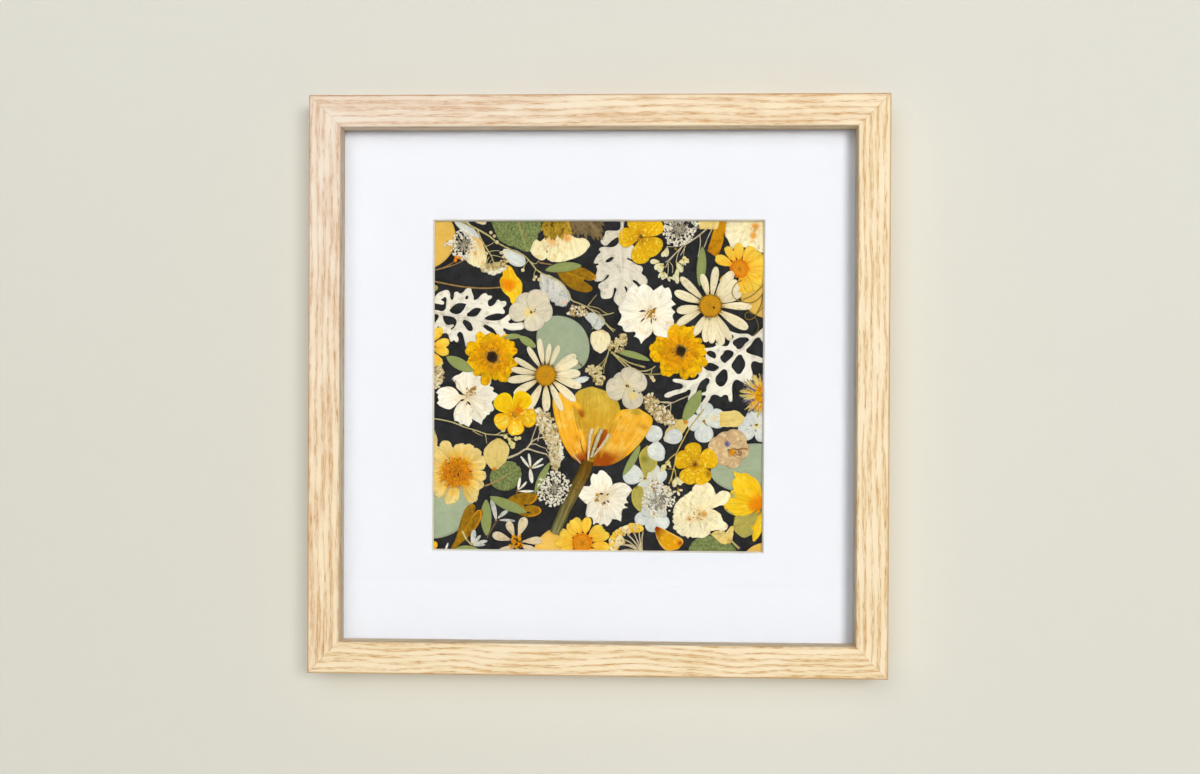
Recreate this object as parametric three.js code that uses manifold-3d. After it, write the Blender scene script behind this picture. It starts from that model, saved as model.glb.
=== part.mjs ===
// A square oak frame with a glazed, matted panel of pressed flowers, and its hanging hardware.
// Millimetres. +Z is up, the front faces -Y and the wall is the plane Y = 0.
import * as THREE from "three";
import { mergeVertices } from "three/addons/utils/BufferGeometryUtils.js";
import Module from "manifold-3d";

// Frame
const SHEET = 304.8;
const OPENING = 292.1;
const FACE_WIDTH = 18.15;
const OUTER = OPENING + 2 * FACE_WIDTH;
const RAIL_FRONT = -25;
const RAIL_BACK = -3;
const LIP_DEPTH = 12.4;
const SHEET_PLAY = 0.6;
const RABBET_WIDTH = (SHEET - OPENING) / 2 + SHEET_PLAY;
const OUTER_EDGE_RADIUS = 1.4;
const LIP_EDGE_RADIUS = 0.8;
const MITRE_GAP = 0.05;
const CUT_PAST = 1;
const ROUND_STEPS = 12;

// Sheets behind the lip, from the front to the back
const GLASS_FRONT = RAIL_FRONT + LIP_DEPTH;
const GLASS = 2;
const MAT_FRONT = GLASS_FRONT + GLASS;
const MAT = 1.5;
const WINDOW = 190.5;
const WINDOW_BEVEL = 0.9;
const LAYER = 0.3;
const LAYER_GAP = 0.03;
const LAYER_COUNT = 4;
const CARD_FRONT = MAT_FRONT + MAT + LAYER_COUNT * LAYER;
const CARD = 0.6;
const BOARD_FRONT = CARD_FRONT + CARD;
const BOARD = 3;
const BOARD_BACK = BOARD_FRONT + BOARD;

// Flexible tabs that hold the back in
const TAB_WIDTH = 8;
const TAB_THICKNESS = 0.5;
const TAB_REACH = 14;
const TAB_BITE = 4;
const TAB_OFFSET = 76;
const TAB_CLEARANCE = 0.05;
const TAB_MIDDLE = BOARD_BACK + TAB_CLEARANCE + TAB_THICKNESS / 2;

// Sawtooth hanger, its nails and the bumpers
const HANGER_WIDTH = 45;
const HANGER_HEIGHT = 9;
const HANGER_PLATE = 0.8;
const HANGER_FOOT = 8;
const HANGER_RAMP = 3;
const TOOTH_COUNT = 9;
const TOOTH_PITCH = 2.8;
const TOOTH_DEPTH = 1.2;
const HANGER_BOTTOM = OPENING / 2 + 6;
const TOOTH_REST = HANGER_BOTTOM + TOOTH_DEPTH;
const NAIL_RADIUS = 0.8;
const NAIL_HEAD_RADIUS = 1.9;
const NAIL_HEAD = 0.6;
const NAIL_LENGTH = 9;
const NAIL_POINT = 1.6;
const NAIL_PLAY = 0.03;
const NAIL_HEAD_TOP = 0.7;
const NAIL_OFFSET = HANGER_WIDTH / 2 - HANGER_FOOT / 2;
const BUMPER_RADIUS = 5;
const BUMPER_EDGE = 0.6;
const BUMPER_STEPS = 20;
const BUMPER_OFFSET = OUTER / 2 - FACE_WIDTH / 2;

const OAK = { color: 0xd9bd92, roughness: 0.6 };
const STEEL = { color: 0xb9b8b4, roughness: 0.35, metalness: 0.9 };

const wasm = await Module();
wasm.setup();

const frame = new THREE.Group();
frame.name = "pressed_flower_frame";

// Everything is drawn about the middle of the window, then hung from the hanger's middle notch.
function addPiece(name, geometry, finish) {
  const material = new THREE.MeshStandardMaterial({ metalness: 0, ...finish });
  const mesh = new THREE.Mesh(geometry, material);
  mesh.name = name;
  mesh.position.z = -TOOTH_REST;
  frame.add(mesh);
}

function toManifold(geometry) {
  const bare = geometry.clone();
  bare.deleteAttribute("normal");
  bare.deleteAttribute("uv");
  const welded = mergeVertices(bare, 1e-4);
  return new wasm.Manifold(new wasm.Mesh({
    numProp: 3,
    vertProperties: Float32Array.from(welded.attributes.position.array),
    triVerts: Uint32Array.from(welded.index.array),
  }));
}

function fromManifold(solid) {
  const mesh = solid.getMesh();
  const geometry = new THREE.BufferGeometry();
  geometry.setAttribute("position", new THREE.BufferAttribute(mesh.vertProperties, 3));
  geometry.setIndex(new THREE.BufferAttribute(mesh.triVerts, 1));
  geometry.computeVertexNormals();
  return geometry;
}

// A flat piece cut to an outline seen from the front, with its back face at the given depth.
function sheetPiece(shape, thickness, back, options = {}) {
  const settings = { depth: thickness, bevelEnabled: false, curveSegments: 4, ...options };
  const geometry = new THREE.ExtrudeGeometry(shape, settings);
  geometry.rotateX(Math.PI / 2);
  geometry.translate(0, back, 0);
  return geometry;
}

function squareShape(side) {
  const half = side / 2;
  const shape = new THREE.Shape();
  shape.moveTo(-half, -half);
  shape.lineTo(half, -half);
  shape.lineTo(half, half);
  shape.lineTo(-half, half);
  return shape;
}

function boxAt(width, depth, height, x, y, z) {
  const geometry = new THREE.BoxGeometry(width, depth, height);
  geometry.translate(x, y, z);
  return geometry;
}

// ---- Rails ----

// The rail's section: x runs outwards from the lip's edge, y runs back from the front face.
function railSection() {
  const depth = RAIL_BACK - RAIL_FRONT;
  const quarter = Math.PI / 2;
  const shape = new THREE.Shape();
  shape.moveTo(0, LIP_DEPTH);
  shape.lineTo(0, LIP_EDGE_RADIUS);
  shape.absarc(LIP_EDGE_RADIUS, LIP_EDGE_RADIUS, LIP_EDGE_RADIUS, -2 * quarter, -quarter);
  shape.lineTo(FACE_WIDTH - OUTER_EDGE_RADIUS, 0);
  shape.absarc(FACE_WIDTH - OUTER_EDGE_RADIUS, OUTER_EDGE_RADIUS, OUTER_EDGE_RADIUS, -quarter, 0);
  shape.lineTo(FACE_WIDTH, depth);
  shape.lineTo(RABBET_WIDTH, depth);
  shape.lineTo(RABBET_WIDTH, LIP_DEPTH);
  return shape;
}

// The top rail, with both ends cut to the mitre and slots for its two tabs.
function topRail() {
  const options = { depth: OUTER, bevelEnabled: false, curveSegments: 3 };
  const geometry = new THREE.ExtrudeGeometry(railSection(), options);
  const position = geometry.attributes.position;
  for (let i = 0; i < position.count; i++) {
    const outwards = position.getX(i);
    const backwards = position.getY(i);
    const halfLength = OPENING / 2 + outwards - MITRE_GAP;
    const side = position.getZ(i) > OUTER / 2 ? -1 : 1;
    position.setXYZ(i, side * halfLength, RAIL_FRONT + backwards, OPENING / 2 + outwards);
  }
  let rail = toManifold(geometry);
  const slotWidth = TAB_WIDTH + 2 * TAB_CLEARANCE;
  const slotDepth = TAB_THICKNESS + 2 * TAB_CLEARANCE;
  const slotReach = TAB_BITE + TAB_CLEARANCE;
  const slotMiddle = OPENING / 2 + RABBET_WIDTH + (slotReach - CUT_PAST) / 2;
  for (const x of [-TAB_OFFSET, TAB_OFFSET]) {
    const slot = boxAt(slotWidth, slotDepth, slotReach + CUT_PAST, x, TAB_MIDDLE, slotMiddle);
    rail = rail.subtract(toManifold(slot));
  }
  return rail;
}

const holesForNails = [-NAIL_OFFSET, NAIL_OFFSET].map((x) => {
  const length = NAIL_LENGTH + CUT_PAST;
  const hole = new THREE.CylinderGeometry(NAIL_RADIUS, NAIL_RADIUS, length, ROUND_STEPS);
  hole.translate(x, RAIL_BACK + CUT_PAST - length / 2, HANGER_BOTTOM + HANGER_HEIGHT / 2);
  return toManifold(hole);
});

const SIDES = [
  { side: "top", turn: 0 },
  { side: "right", turn: 1 },
  { side: "bottom", turn: 2 },
  { side: "left", turn: 3 },
];
for (const { side, turn } of SIDES) {
  let rail = topRail();
  if (side === "top") {
    for (const hole of holesForNails) rail = rail.subtract(hole);
  }
  const geometry = fromManifold(rail);
  geometry.rotateY(turn * Math.PI / 2);
  addPiece(`rail_${side}`, geometry, OAK);
}

// ---- Glass, mat, card and board ----

const GLASS_CLEAR = { color: 0xeef4f2, roughness: 0.05 };
addPiece("glass", sheetPiece(squareShape(SHEET), GLASS, MAT_FRONT), GLASS_CLEAR);

// The window is cut on a slope, wider at the front, so that the board's white core shows.
function bevelledMat() {
  const slab = toManifold(sheetPiece(squareShape(SHEET), MAT - LAYER_GAP, MAT_FRONT + MAT));
  const cutter = sheetPiece(squareShape(1), MAT + 2 * CUT_PAST, MAT_FRONT + MAT + CUT_PAST);
  const position = cutter.attributes.position;
  for (let i = 0; i < position.count; i++) {
    const behindFront = position.getY(i) - MAT_FRONT;
    const side = WINDOW - 2 * WINDOW_BEVEL * behindFront / MAT;
    position.setX(i, position.getX(i) * side);
    position.setZ(i, position.getZ(i) * side);
  }
  return fromManifold(slab.subtract(toManifold(cutter)));
}
addPiece("mat", bevelledMat(), { color: 0xf4f5f8, roughness: 0.9 });

const cardSheet = sheetPiece(squareShape(SHEET), CARD - LAYER_GAP, BOARD_FRONT - LAYER_GAP);
addPiece("backing_card", cardSheet, { color: 0x26262a, roughness: 0.95 });
addPiece("back_board", sheetPiece(squareShape(SHEET), BOARD - LAYER_GAP, BOARD_BACK - LAYER_GAP), {
  color: 0x8a6a48,
  roughness: 0.8,
});

// ---- Tabs ----

function tab(offset, turn) {
  const length = TAB_REACH + TAB_BITE;
  const middle = OPENING / 2 + RABBET_WIDTH + TAB_BITE - length / 2;
  const geometry = boxAt(TAB_WIDTH, TAB_THICKNESS, length, offset, TAB_MIDDLE, middle);
  geometry.rotateY(turn * Math.PI / 2);
  return geometry;
}
const TABS = [
  ["tab_top_left", -1, 0],
  ["tab_top_right", 1, 0],
  ["tab_right_upper", -1, 1],
  ["tab_right_lower", 1, 1],
  ["tab_bottom_right", -1, 2],
  ["tab_bottom_left", 1, 2],
  ["tab_left_lower", -1, 3],
  ["tab_left_upper", 1, 3],
];
for (const [name, side, turn] of TABS) {
  addPiece(name, tab(side * TAB_OFFSET, turn), STEEL);
}

// ---- Sawtooth hanger, nails and bumpers ----

// Seen from above: two feet on the wood, and a middle that stands off it as far as the wall.
function hangerBand() {
  const outer = HANGER_WIDTH / 2;
  const rampStart = outer - HANGER_FOOT;
  const rampEnd = rampStart - HANGER_RAMP;
  const raised = -HANGER_PLATE;
  const shape = new THREE.Shape();
  shape.moveTo(-outer, RAIL_BACK);
  shape.lineTo(-rampStart, RAIL_BACK);
  shape.lineTo(-rampEnd, raised);
  shape.lineTo(rampEnd, raised);
  shape.lineTo(rampStart, RAIL_BACK);
  shape.lineTo(outer, RAIL_BACK);
  shape.lineTo(outer, RAIL_BACK + HANGER_PLATE);
  shape.lineTo(rampStart, RAIL_BACK + HANGER_PLATE);
  shape.lineTo(rampEnd, 0);
  shape.lineTo(-rampEnd, 0);
  shape.lineTo(-rampStart, RAIL_BACK + HANGER_PLATE);
  shape.lineTo(-outer, RAIL_BACK + HANGER_PLATE);
  const options = { depth: HANGER_HEIGHT, bevelEnabled: false };
  return new THREE.ExtrudeGeometry(shape, options).translate(0, 0, HANGER_BOTTOM);
}

// The row of notches along the hanger's lower edge, as one saw-edged strip.
function notchCutter() {
  const shape = new THREE.Shape();
  const start = -TOOTH_COUNT * TOOTH_PITCH / 2;
  shape.moveTo(start, HANGER_BOTTOM - CUT_PAST);
  shape.lineTo(-start, HANGER_BOTTOM - CUT_PAST);
  for (let i = TOOTH_COUNT - 1; i >= 0; i--) {
    const right = start + (i + 1) * TOOTH_PITCH;
    shape.lineTo(right, HANGER_BOTTOM);
    shape.lineTo(right - TOOTH_PITCH / 2, TOOTH_REST);
  }
  shape.lineTo(start, HANGER_BOTTOM);
  return sheetPiece(shape, -RAIL_BACK + CUT_PAST, CUT_PAST);
}

function hanger() {
  let plate = toManifold(hangerBand()).subtract(toManifold(notchCutter()));
  for (const hole of holesForNails) plate = plate.subtract(hole);
  return fromManifold(plate);
}
addPiece("sawtooth_hanger", hanger(), STEEL);

// A round piece about the Y axis, from a profile of [radius, depth].
function turned(profile, steps) {
  return new THREE.LatheGeometry(profile.map(([r, y]) => new THREE.Vector2(r, y)), steps);
}

// The nail stands point forwards, with its round head on the hanger's foot.
function nail(x) {
  const shank = NAIL_RADIUS - NAIL_PLAY;
  const tip = NAIL_HEAD - NAIL_LENGTH;
  const profile = [
    [0, tip],
    [shank, tip + NAIL_POINT],
    [shank, 0],
    [NAIL_HEAD_RADIUS, 0],
    [NAIL_HEAD_RADIUS * NAIL_HEAD_TOP, NAIL_HEAD],
    [0, NAIL_HEAD],
  ];
  const geometry = turned(profile, ROUND_STEPS);
  const headSeat = RAIL_BACK + HANGER_PLATE;
  geometry.translate(x, headSeat, HANGER_BOTTOM + HANGER_HEIGHT / 2);
  return geometry;
}
addPiece("hanger_nail_left", nail(-NAIL_OFFSET), STEEL);
addPiece("hanger_nail_right", nail(NAIL_OFFSET), STEEL);

// A soft disc with a rounded rim, from the wood to the wall.
function bumper(x) {
  const profile = [
    [0, RAIL_BACK],
    [BUMPER_RADIUS, RAIL_BACK],
    [BUMPER_RADIUS, -BUMPER_EDGE],
    [BUMPER_RADIUS - BUMPER_EDGE, 0],
    [0, 0],
  ];
  const geometry = turned(profile, BUMPER_STEPS);
  geometry.translate(x, 0, -BUMPER_OFFSET);
  return geometry;
}
const RUBBER = { color: 0x2b2b2b, roughness: 0.9 };
addPiece("bumper_left", bumper(-BUMPER_OFFSET), RUBBER);
addPiece("bumper_right", bumper(BUMPER_OFFSET), RUBBER);

// ---- Pressed specimens ----
// Each lies flat in one of the thin layers on the card: 0 is on the card itself.

const WHITE = { color: 0xefe9da, roughness: 0.8 };
const CREAM = { color: 0xeedfc0, roughness: 0.8 };
const BEIGE = { color: 0xd8cfc0, roughness: 0.8 };
const PEACH = { color: 0xd3aa82, roughness: 0.8 };
const BLUISH = { color: 0xdcdfe2, roughness: 0.8 };
const GOLD = { color: 0xe8a912, roughness: 0.7 };
const YELLOW = { color: 0xf2c61c, roughness: 0.7 };
const ORANGE = { color: 0xf2ac2e, roughness: 0.7 };
const OCHRE = { color: 0xa87c18, roughness: 0.8 };
const SAGE = { color: 0xa6b398, roughness: 0.8 };
const GREEN = { color: 0x566b33, roughness: 0.8 };
const TAN = { color: 0xd9c49a, roughness: 0.85 };

function degrees(angle) {
  return angle * Math.PI / 180;
}

function addSpecimen(name, points, layer, finish) {
  const shape = new THREE.Shape(points);
  const back = CARD_FRONT - layer * LAYER;
  addPiece(name, sheetPiece(shape, LAYER - LAYER_GAP, back), finish);
}

// How far an oval petal reaches from the flower's middle, seen at an angle from the petal's own line.
function petalReach(angle, length, width) {
  const cos = Math.cos(angle);
  if (cos <= 0) return 0;
  const sin = Math.sin(angle);
  const halfLength = length / 2;
  const halfWidth = width / 2;
  const spread = (cos / halfLength) ** 2 + (sin / halfWidth) ** 2;
  return 2 * cos / halfLength / spread;
}

// The outline round a whole flower. Each petal is [direction in degrees, length, width].
function addFlower(name, flower, layer, finish) {
  const { x, z, petals, heart, steps, ripple = 0, ripples = 0 } = flower;
  const points = [];
  for (let i = 0; i < steps; i++) {
    const angle = 2 * Math.PI * i / steps;
    let reach = heart;
    for (const [direction, length, width] of petals) {
      reach = Math.max(reach, petalReach(angle - degrees(direction), length, width));
    }
    reach += ripple * Math.sin(ripples * angle);
    points.push(new THREE.Vector2(x + reach * Math.cos(angle), z + reach * Math.sin(angle)));
  }
  addSpecimen(name, points, layer, finish);
}

// A ring of like petals, for flowers that are even all round.
function evenPetals(count, length, width) {
  return Array.from({ length: count }, (_, i) => [360 * i / count, length, width]);
}

const PLAIN_LEAF_STEPS = 14;

// A simple leaf from its foot, along its direction, with small teeth where it has any.
function addLeaf(name, leaf, layer, finish) {
  const { x, z, direction, length, width, teeth = 0, toothDepth = 0 } = leaf;
  const steps = teeth > 0 ? 2 * teeth : PLAIN_LEAF_STEPS;
  const left = [];
  const right = [];
  for (let i = 1; i < steps; i++) {
    const part = i / steps;
    const tooth = teeth > 0 && i % 2 === 1 ? toothDepth : 0;
    const half = width / 2 * Math.sqrt(1 - (2 * part - 1) ** 2) - tooth;
    right.push([part * length, -half]);
    left.push([part * length, half]);
  }
  const outline = [[0, 0], ...right, [length, 0], ...left.reverse()];
  addSpecimen(name, placed(outline, x, z, direction), layer, finish);
}

// Points given as [along, across] from a foot, set down along a direction.
function placed(outline, x, z, direction) {
  const cos = Math.cos(degrees(direction));
  const sin = Math.sin(degrees(direction));
  return outline.map(([along, across]) => {
    return new THREE.Vector2(x + along * cos - across * sin, z + along * sin + across * cos);
  });
}

const SHOULDER = 0.8;

// A deeply cut leaf: blunt fingers on both sides of a rib. Each finger is [place on the rib, reach].
function addLobedLeaf(name, leaf, layer, finish) {
  const { x, z, direction, length, rib, finger, lean, left, right } = leaf;
  const sideOutline = (fingers, side) => {
    const points = [];
    for (const [place, reach] of fingers) {
      const near = place - finger / 2;
      const far = place + finger / 2;
      points.push([near, side * rib]);
      points.push([near + SHOULDER * lean, side * SHOULDER * reach]);
      points.push([place + lean, side * reach]);
      points.push([far + SHOULDER * lean, side * SHOULDER * reach]);
      points.push([far, side * rib]);
    }
    return points;
  };
  const outline = [[0, 0], ...sideOutline(right, -1), [length, 0], ...sideOutline(left, 1).reverse()];
  addSpecimen(name, placed(outline, x, z, direction), layer, finish);
}

// A lace-like leaf joined from straight ribs. Each rib is [from x, from z, to x, to z, width].
function addLacyLeaf(name, ribs, layer, finish) {
  let leaf = null;
  for (const [fromX, fromZ, toX, toZ, width] of ribs) {
    const length = Math.hypot(toX - fromX, toZ - fromZ);
    const half = width / 2;
    const cut = half / 2;
    const outline = [
      [-cut, -cut], [cut, -half], [length - cut, -half], [length + cut, -cut],
      [length + cut, cut], [length - cut, half], [cut, half], [-cut, cut],
    ];
    const direction = Math.atan2(toZ - fromZ, toX - fromX) * 180 / Math.PI;
    const shape = new THREE.Shape(placed(outline, fromX, fromZ, direction));
    const rib = toManifold(sheetPiece(shape, LAYER - LAYER_GAP, CARD_FRONT - layer * LAYER));
    leaf = leaf ? leaf.add(rib) : rib;
  }
  addPiece(name, fromManifold(leaf), finish);
}

// A freely curved outline through a few points round the edge, anticlockwise.
function addCurved(name, corners, steps, layer, finish) {
  const curve = new THREE.CatmullRomCurve3(
    corners.map(([x, z]) => new THREE.Vector3(x, z, 0)),
    true,
  );
  const points = curve.getPoints(steps).slice(0, -1).map((p) => new THREE.Vector2(p.x, p.y));
  addSpecimen(name, points, layer, finish);
}

// Daisies

addFlower("daisy_left", {
  x: -30, z: 6, heart: 6.2, steps: 120,
  petals: [
    [103, 21.6, 3.6], [85, 18.4, 3], [65, 18.8, 3.4], [36, 21, 5], [24, 20.5, 4.6],
    [3, 20, 5.4], [-16, 21.6, 5], [-39, 22.7, 5], [-65, 22.6, 3.8], [-89, 20.8, 4.8],
    [-116, 22.8, 5], [-150, 21.5, 4.6], [-171, 22.3, 4.6], [170, 20.3, 3.8], [154, 20.6, 3.4],
    [124, 19.4, 3.4],
  ],
}, 2, WHITE);

addFlower("daisy_right", {
  x: 64.3, z: 46, heart: 6.8, steps: 120,
  petals: [
    [82, 22.7, 4.6], [103, 19, 4.2], [138, 23.8, 4.6], [160, 22.1, 5.2], [-171, 19.5, 5.2],
    [-153, 22, 4.6], [-117, 19, 4.6], [-96, 20.5, 6], [-75, 23.5, 7], [-59, 23, 4.6],
    [-31, 25, 6], [1, 23.7, 4.6], [21, 19, 5], [43, 21, 6.5], [58, 23.5, 6],
  ],
}, 3, WHITE);

addFlower("orange_daisy_right", {
  x: 80.8, z: 67.5, heart: 5.4, steps: 80,
  petals: [
    [155, 15.2, 5.8], [122, 14.5, 4.8], [93, 14.6, 5.4], [58, 14.8, 6.4], [30, 15.5, 6.4],
    [5, 15.5, 6.4], [-20, 15.5, 6.4], [-48, 16, 6.4], [-80, 15, 6], [-142, 13.5, 5],
  ],
}, 1, ORANGE);

addFlower("orange_daisy_bottom", {
  x: -8.5, z: -90.3, heart: 5.8, steps: 80,
  petals: [
    [126, 13.8, 5.6], [105, 15.2, 5.4], [78, 15.2, 5.4], [42, 14.8, 5.4], [18, 16.4, 5.2],
    [-10, 16, 5.6], [-40, 15, 5.4], [-70, 15, 5.4], [-100, 15, 5.4], [-130, 15, 5.4],
    [157, 14.2, 5.4], [180, 16, 5.6], [205, 15, 5.4],
  ],
}, 2, ORANGE);

addFlower("cream_daisy", {
  x: -81.5, z: -50.5, heart: 12, steps: 72,
  petals: evenPetals(16, 18, 7.4),
}, 1, CREAM);

addFlower("star_flower", {
  x: -46.5, z: -90, heart: 4, steps: 60,
  petals: [
    [114, 12, 5.4], [71, 14.6, 6.4], [4, 15, 5], [-30, 12, 5.4], [163, 14, 5.6], [217, 13, 5.4],
  ],
}, 1, TAN);

// Double chrysanthemums

addFlower("chrysanthemum_left", {
  x: -61.3, z: 16.6, heart: 11, steps: 60, petals: evenPetals(18, 14.6, 6),
}, 1, GOLD);

addFlower("chrysanthemum_right", {
  x: 46.7, z: 19.8, heart: 11, steps: 60, petals: evenPetals(18, 15, 6),
}, 2, GOLD);

// Larkspurs, with toothed petals

addFlower("larkspur_left", {
  x: -74.5, z: -5.5, heart: 6, steps: 60, ripple: 0.4, ripples: 30,
  petals: [
    [180, 19, 12.5], [128, 13.5, 10], [95, 14, 13], [55, 16.5, 13], [20, 15.5, 14], [0, 17, 10],
    [-30, 17, 14], [-62, 18, 12], [-95, 18.5, 13], [-125, 16, 10],
  ],
}, 0, WHITE);

addFlower("larkspur_middle", {
  x: 29.5, z: 42, heart: 8, steps: 60, ripple: 0.4, ripples: 30,
  petals: [
    [100, 15.5, 12], [66, 16.5, 10], [38, 16.5, 10], [8, 13.6, 10], [-22, 14.4, 10], [-52, 17, 9],
    [-105, 17.5, 8], [-152, 17.5, 10], [178, 16, 10], [148, 17, 10], [125, 15, 10],
  ],
}, 3, WHITE);

addFlower("larkspur_bottom", {
  x: 3.5, z: -64, heart: 6, steps: 60, ripple: 0.4, ripples: 30,
  petals: [
    [94, 15.5, 12.5], [20, 16.8, 11], [-14, 14, 12], [-52, 16.5, 11], [-85, 16.5, 12],
    [-118, 14, 12], [172, 14.5, 10],
  ],
}, 0, WHITE);

// Buttercups

addFlower("buttercup_top", {
  x: 24.5, z: 85.5, heart: 3, steps: 48,
  petals: [[182, 13, 11.5], [108, 12.5, 10.5], [42, 14, 12.5], [-40, 13, 12.5], [-92, 15, 11]],
}, 1, GOLD);

addFlower("buttercup_left", {
  x: -48, z: -16.8, heart: 3, steps: 48,
  petals: [[132, 13.4, 11.5], [62, 13.8, 11], [-12, 12.6, 11], [-84, 11.8, 9.5], [208, 12, 10]],
}, 3, YELLOW);

addFlower("buttercup_right", {
  x: 55.8, z: -44.8, heart: 3, steps: 48,
  petals: [[97, 12.6, 9.8], [160, 11.6, 10.5], [242, 12, 10], [302, 12.5, 10.5], [22, 13.4, 11.5]],
}, 2, GOLD);

// Violas and hydrangea florets

addFlower("viola_left", {
  x: -38.6, z: 42.3, heart: 5, steps: 40,
  petals: [[180, 12.6, 11], [120, 11.8, 11], [60, 13.5, 13], [2, 12.2, 12], [-75, 10.6, 12]],
}, 2, BEIGE);

addFlower("viola_middle", {
  x: 17, z: 0, heart: 5, steps: 40,
  petals: [[195, 12.2, 13], [140, 9.5, 9], [70, 10.8, 12], [22, 11.5, 11], [-68, 13.5, 12]],
}, 2, BEIGE);

addFlower("viola_right", {
  x: 75.2, z: -36.5, heart: 5, steps: 40,
  petals: [[165, 12, 11], [110, 11, 10], [58, 12.5, 12], [2, 11.5, 10], [-68, 10.5, 9], [-122, 9.5, 9]],
}, 1, PEACH);

addFlower("hydrangea_right", {
  x: 61, z: -20, heart: 3, steps: 40,
  petals: [[88, 10.8, 9.8], [12, 12, 11], [-90, 12, 10.5], [188, 9.4, 9]],
}, 0, BLUISH);

addFlower("hydrangea_low", {
  x: 27, z: -53, heart: 2, steps: 40,
  petals: [[163, 12.4, 11.4], [32, 10.6, 11], [-86, 12, 10.8]],
}, 0, BLUISH);

// Tulip with its stem

addCurved("tulip", [
  [-25.5, -6], [-26, -15], [-21, -31], [-15.5, -40], [-11, -44.5], [-14, -56], [-21, -71],
  [-28, -85], [-21, -86], [-13, -70], [-7, -56], [-2.5, -46], [8, -45.5], [19, -38.5], [27, -29],
  [32, -20], [29, -15], [22, -12.8], [12, -13.5], [8, -5], [2, -1], [-5, -0.5], [-12, -3.5],
  [-19, -3],
], 60, 1, ORANGE);

// Ruffled flowers

addCurved("carnation_bottom", [
  [44, -75], [44.5, -82], [50, -86.5], [60, -86.5], [66, -83], [73.5, -81.5], [74.5, -78],
  [71, -72.5], [66, -70], [68, -68.5], [75.5, -67], [75.5, -61.5], [70, -60.5], [67.5, -61.5],
  [65, -56], [56, -56], [53.5, -60], [49, -63.5], [45, -69],
], 48, 0, CREAM);

addCurved("carnation_top", [
  [72, 98], [72, 88], [75, 82.5], [80, 83], [84, 80], [90, 78], [97, 78], [102, 84], [103, 94],
  [98, 102], [86, 105], [76, 103],
], 44, 0, CREAM);

addCurved("cream_flower_top", [
  [-32, 72], [-26, 71.3], [-17, 72.7], [-9, 76], [-5.2, 81], [-7.5, 84.8], [-12.5, 86.5],
  [-15, 95], [-18, 103], [-28, 104], [-32.5, 96], [-32, 85], [-37.5, 83], [-39.5, 79],
  [-38, 74.5],
], 48, 1, CREAM);

addCurved("yellow_flower_right", [
  [78, -49], [76.6, -55], [78.5, -59], [76.5, -63], [76.5, -67], [73.3, -68.5], [74, -72],
  [78.6, -75], [78, -80], [79.5, -84], [84, -86], [88, -84.8], [89.5, -88.4], [92, -87.5],
  [98, -79], [103, -70], [100, -62], [94.5, -59.5], [90, -53], [84, -49.5],
], 52, 1, YELLOW);

// Leaves

addLeaf("sage_leaf_middle", { x: -9, z: 11, direction: 130, length: 35, width: 29 }, 0, SAGE);
addLeaf("sage_leaf_left", { x: -105, z: -85, direction: 45, length: 42, width: 33 }, 0, SAGE);
addLeaf("sage_leaf_right", { x: 65, z: -50, direction: 8, length: 47, width: 28 }, 0, SAGE);
addLeaf("ochre_leaf_corner", { x: -101, z: 67, direction: 85, length: 37, width: 34 }, 0, OCHRE);
addLeaf("serrated_leaf_top", {
  x: -50, z: 108, direction: -80, length: 31, width: 29, teeth: 10, toothDepth: 0.7,
}, 0, GREEN);
addLeaf("serrated_leaf_small", {
  x: -61.5, z: -56.5, direction: 28, length: 19, width: 17, teeth: 10, toothDepth: 0.5,
}, 0, GREEN);

addLacyLeaf("dusty_miller_left", [
  [-103, 43.5, -76, 42, 3.8], [-78, 42, -58, 37.5, 4.4], [-60, 38, -42, 34.5, 6],
  [-97, 49.5, -86, 52.5, 5], [-88, 53.5, -88, 43, 4.2], [-88, 50.5, -62, 48, 6],
  [-78, 49, -74, 56.5, 5], [-67, 49, -65, 53, 6], [-65, 48, -54, 45, 5.4], [-58, 47, -57, 49.5, 4.4],
  [-78, 41.5, -72, 47, 3.2], [-68, 39, -63, 46, 3.4], [-54, 46, -50, 40.5, 3.4],
  [-92, 42, -92.5, 34, 3.6], [-98, 36.5, -90.5, 33, 4.4], [-80, 41, -80, 33, 4.4],
  [-88, 33.5, -78, 32.5, 5], [-84.5, 33, -83, 26.5, 6], [-76.5, 34, -74.5, 23, 5.6],
  [-71, 40, -70, 31, 4], [-76, 31, -63, 29, 5.6], [-65.5, 36.5, -55.5, 30.5, 4.4],
], 0, WHITE);

addLacyLeaf("dusty_miller_right", [
  [100, 39, 79, 19, 2.6], [80, 20.5, 70, 11, 4.4], [72, 12, 57, 3, 5.4],
  [59, 21.4, 77, 22.5, 2.4], [77, 20.5, 76, 30.5, 2.6], [70, 31, 87, 29.4, 2.6],
  [80, 19.6, 99, 15, 3], [86.2, 19, 87, 2, 3.8], [75, 6, 90, 2.6, 4.4], [75.6, 11, 76, -9, 3.6],
  [58, 15, 72, 14, 2.8], [68.6, 22, 69, 13, 2.2], [54, 9.4, 70, 8, 3.2], [66, 8, 65, -3, 4.4],
  [61, -2.6, 76, -2.2, 5], [43, 3.6, 58, 4, 2.6], [38.6, -5.8, 56, 2.4, 3], [51.6, -8.4, 57, 4, 2.8],
  [59.5, -13, 66, -1, 2.8],
], 1, WHITE);

addLobedLeaf("dusty_miller_top", {
  x: 13.5, z: 99, direction: -90, length: 50, rib: 3, finger: 10, lean: 2,
  left: [[22, 10], [33, 15], [44, 8]],
  right: [[10, 10], [22, 15], [33, 15], [43, 10]],
}, 0, BEIGE);

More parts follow.
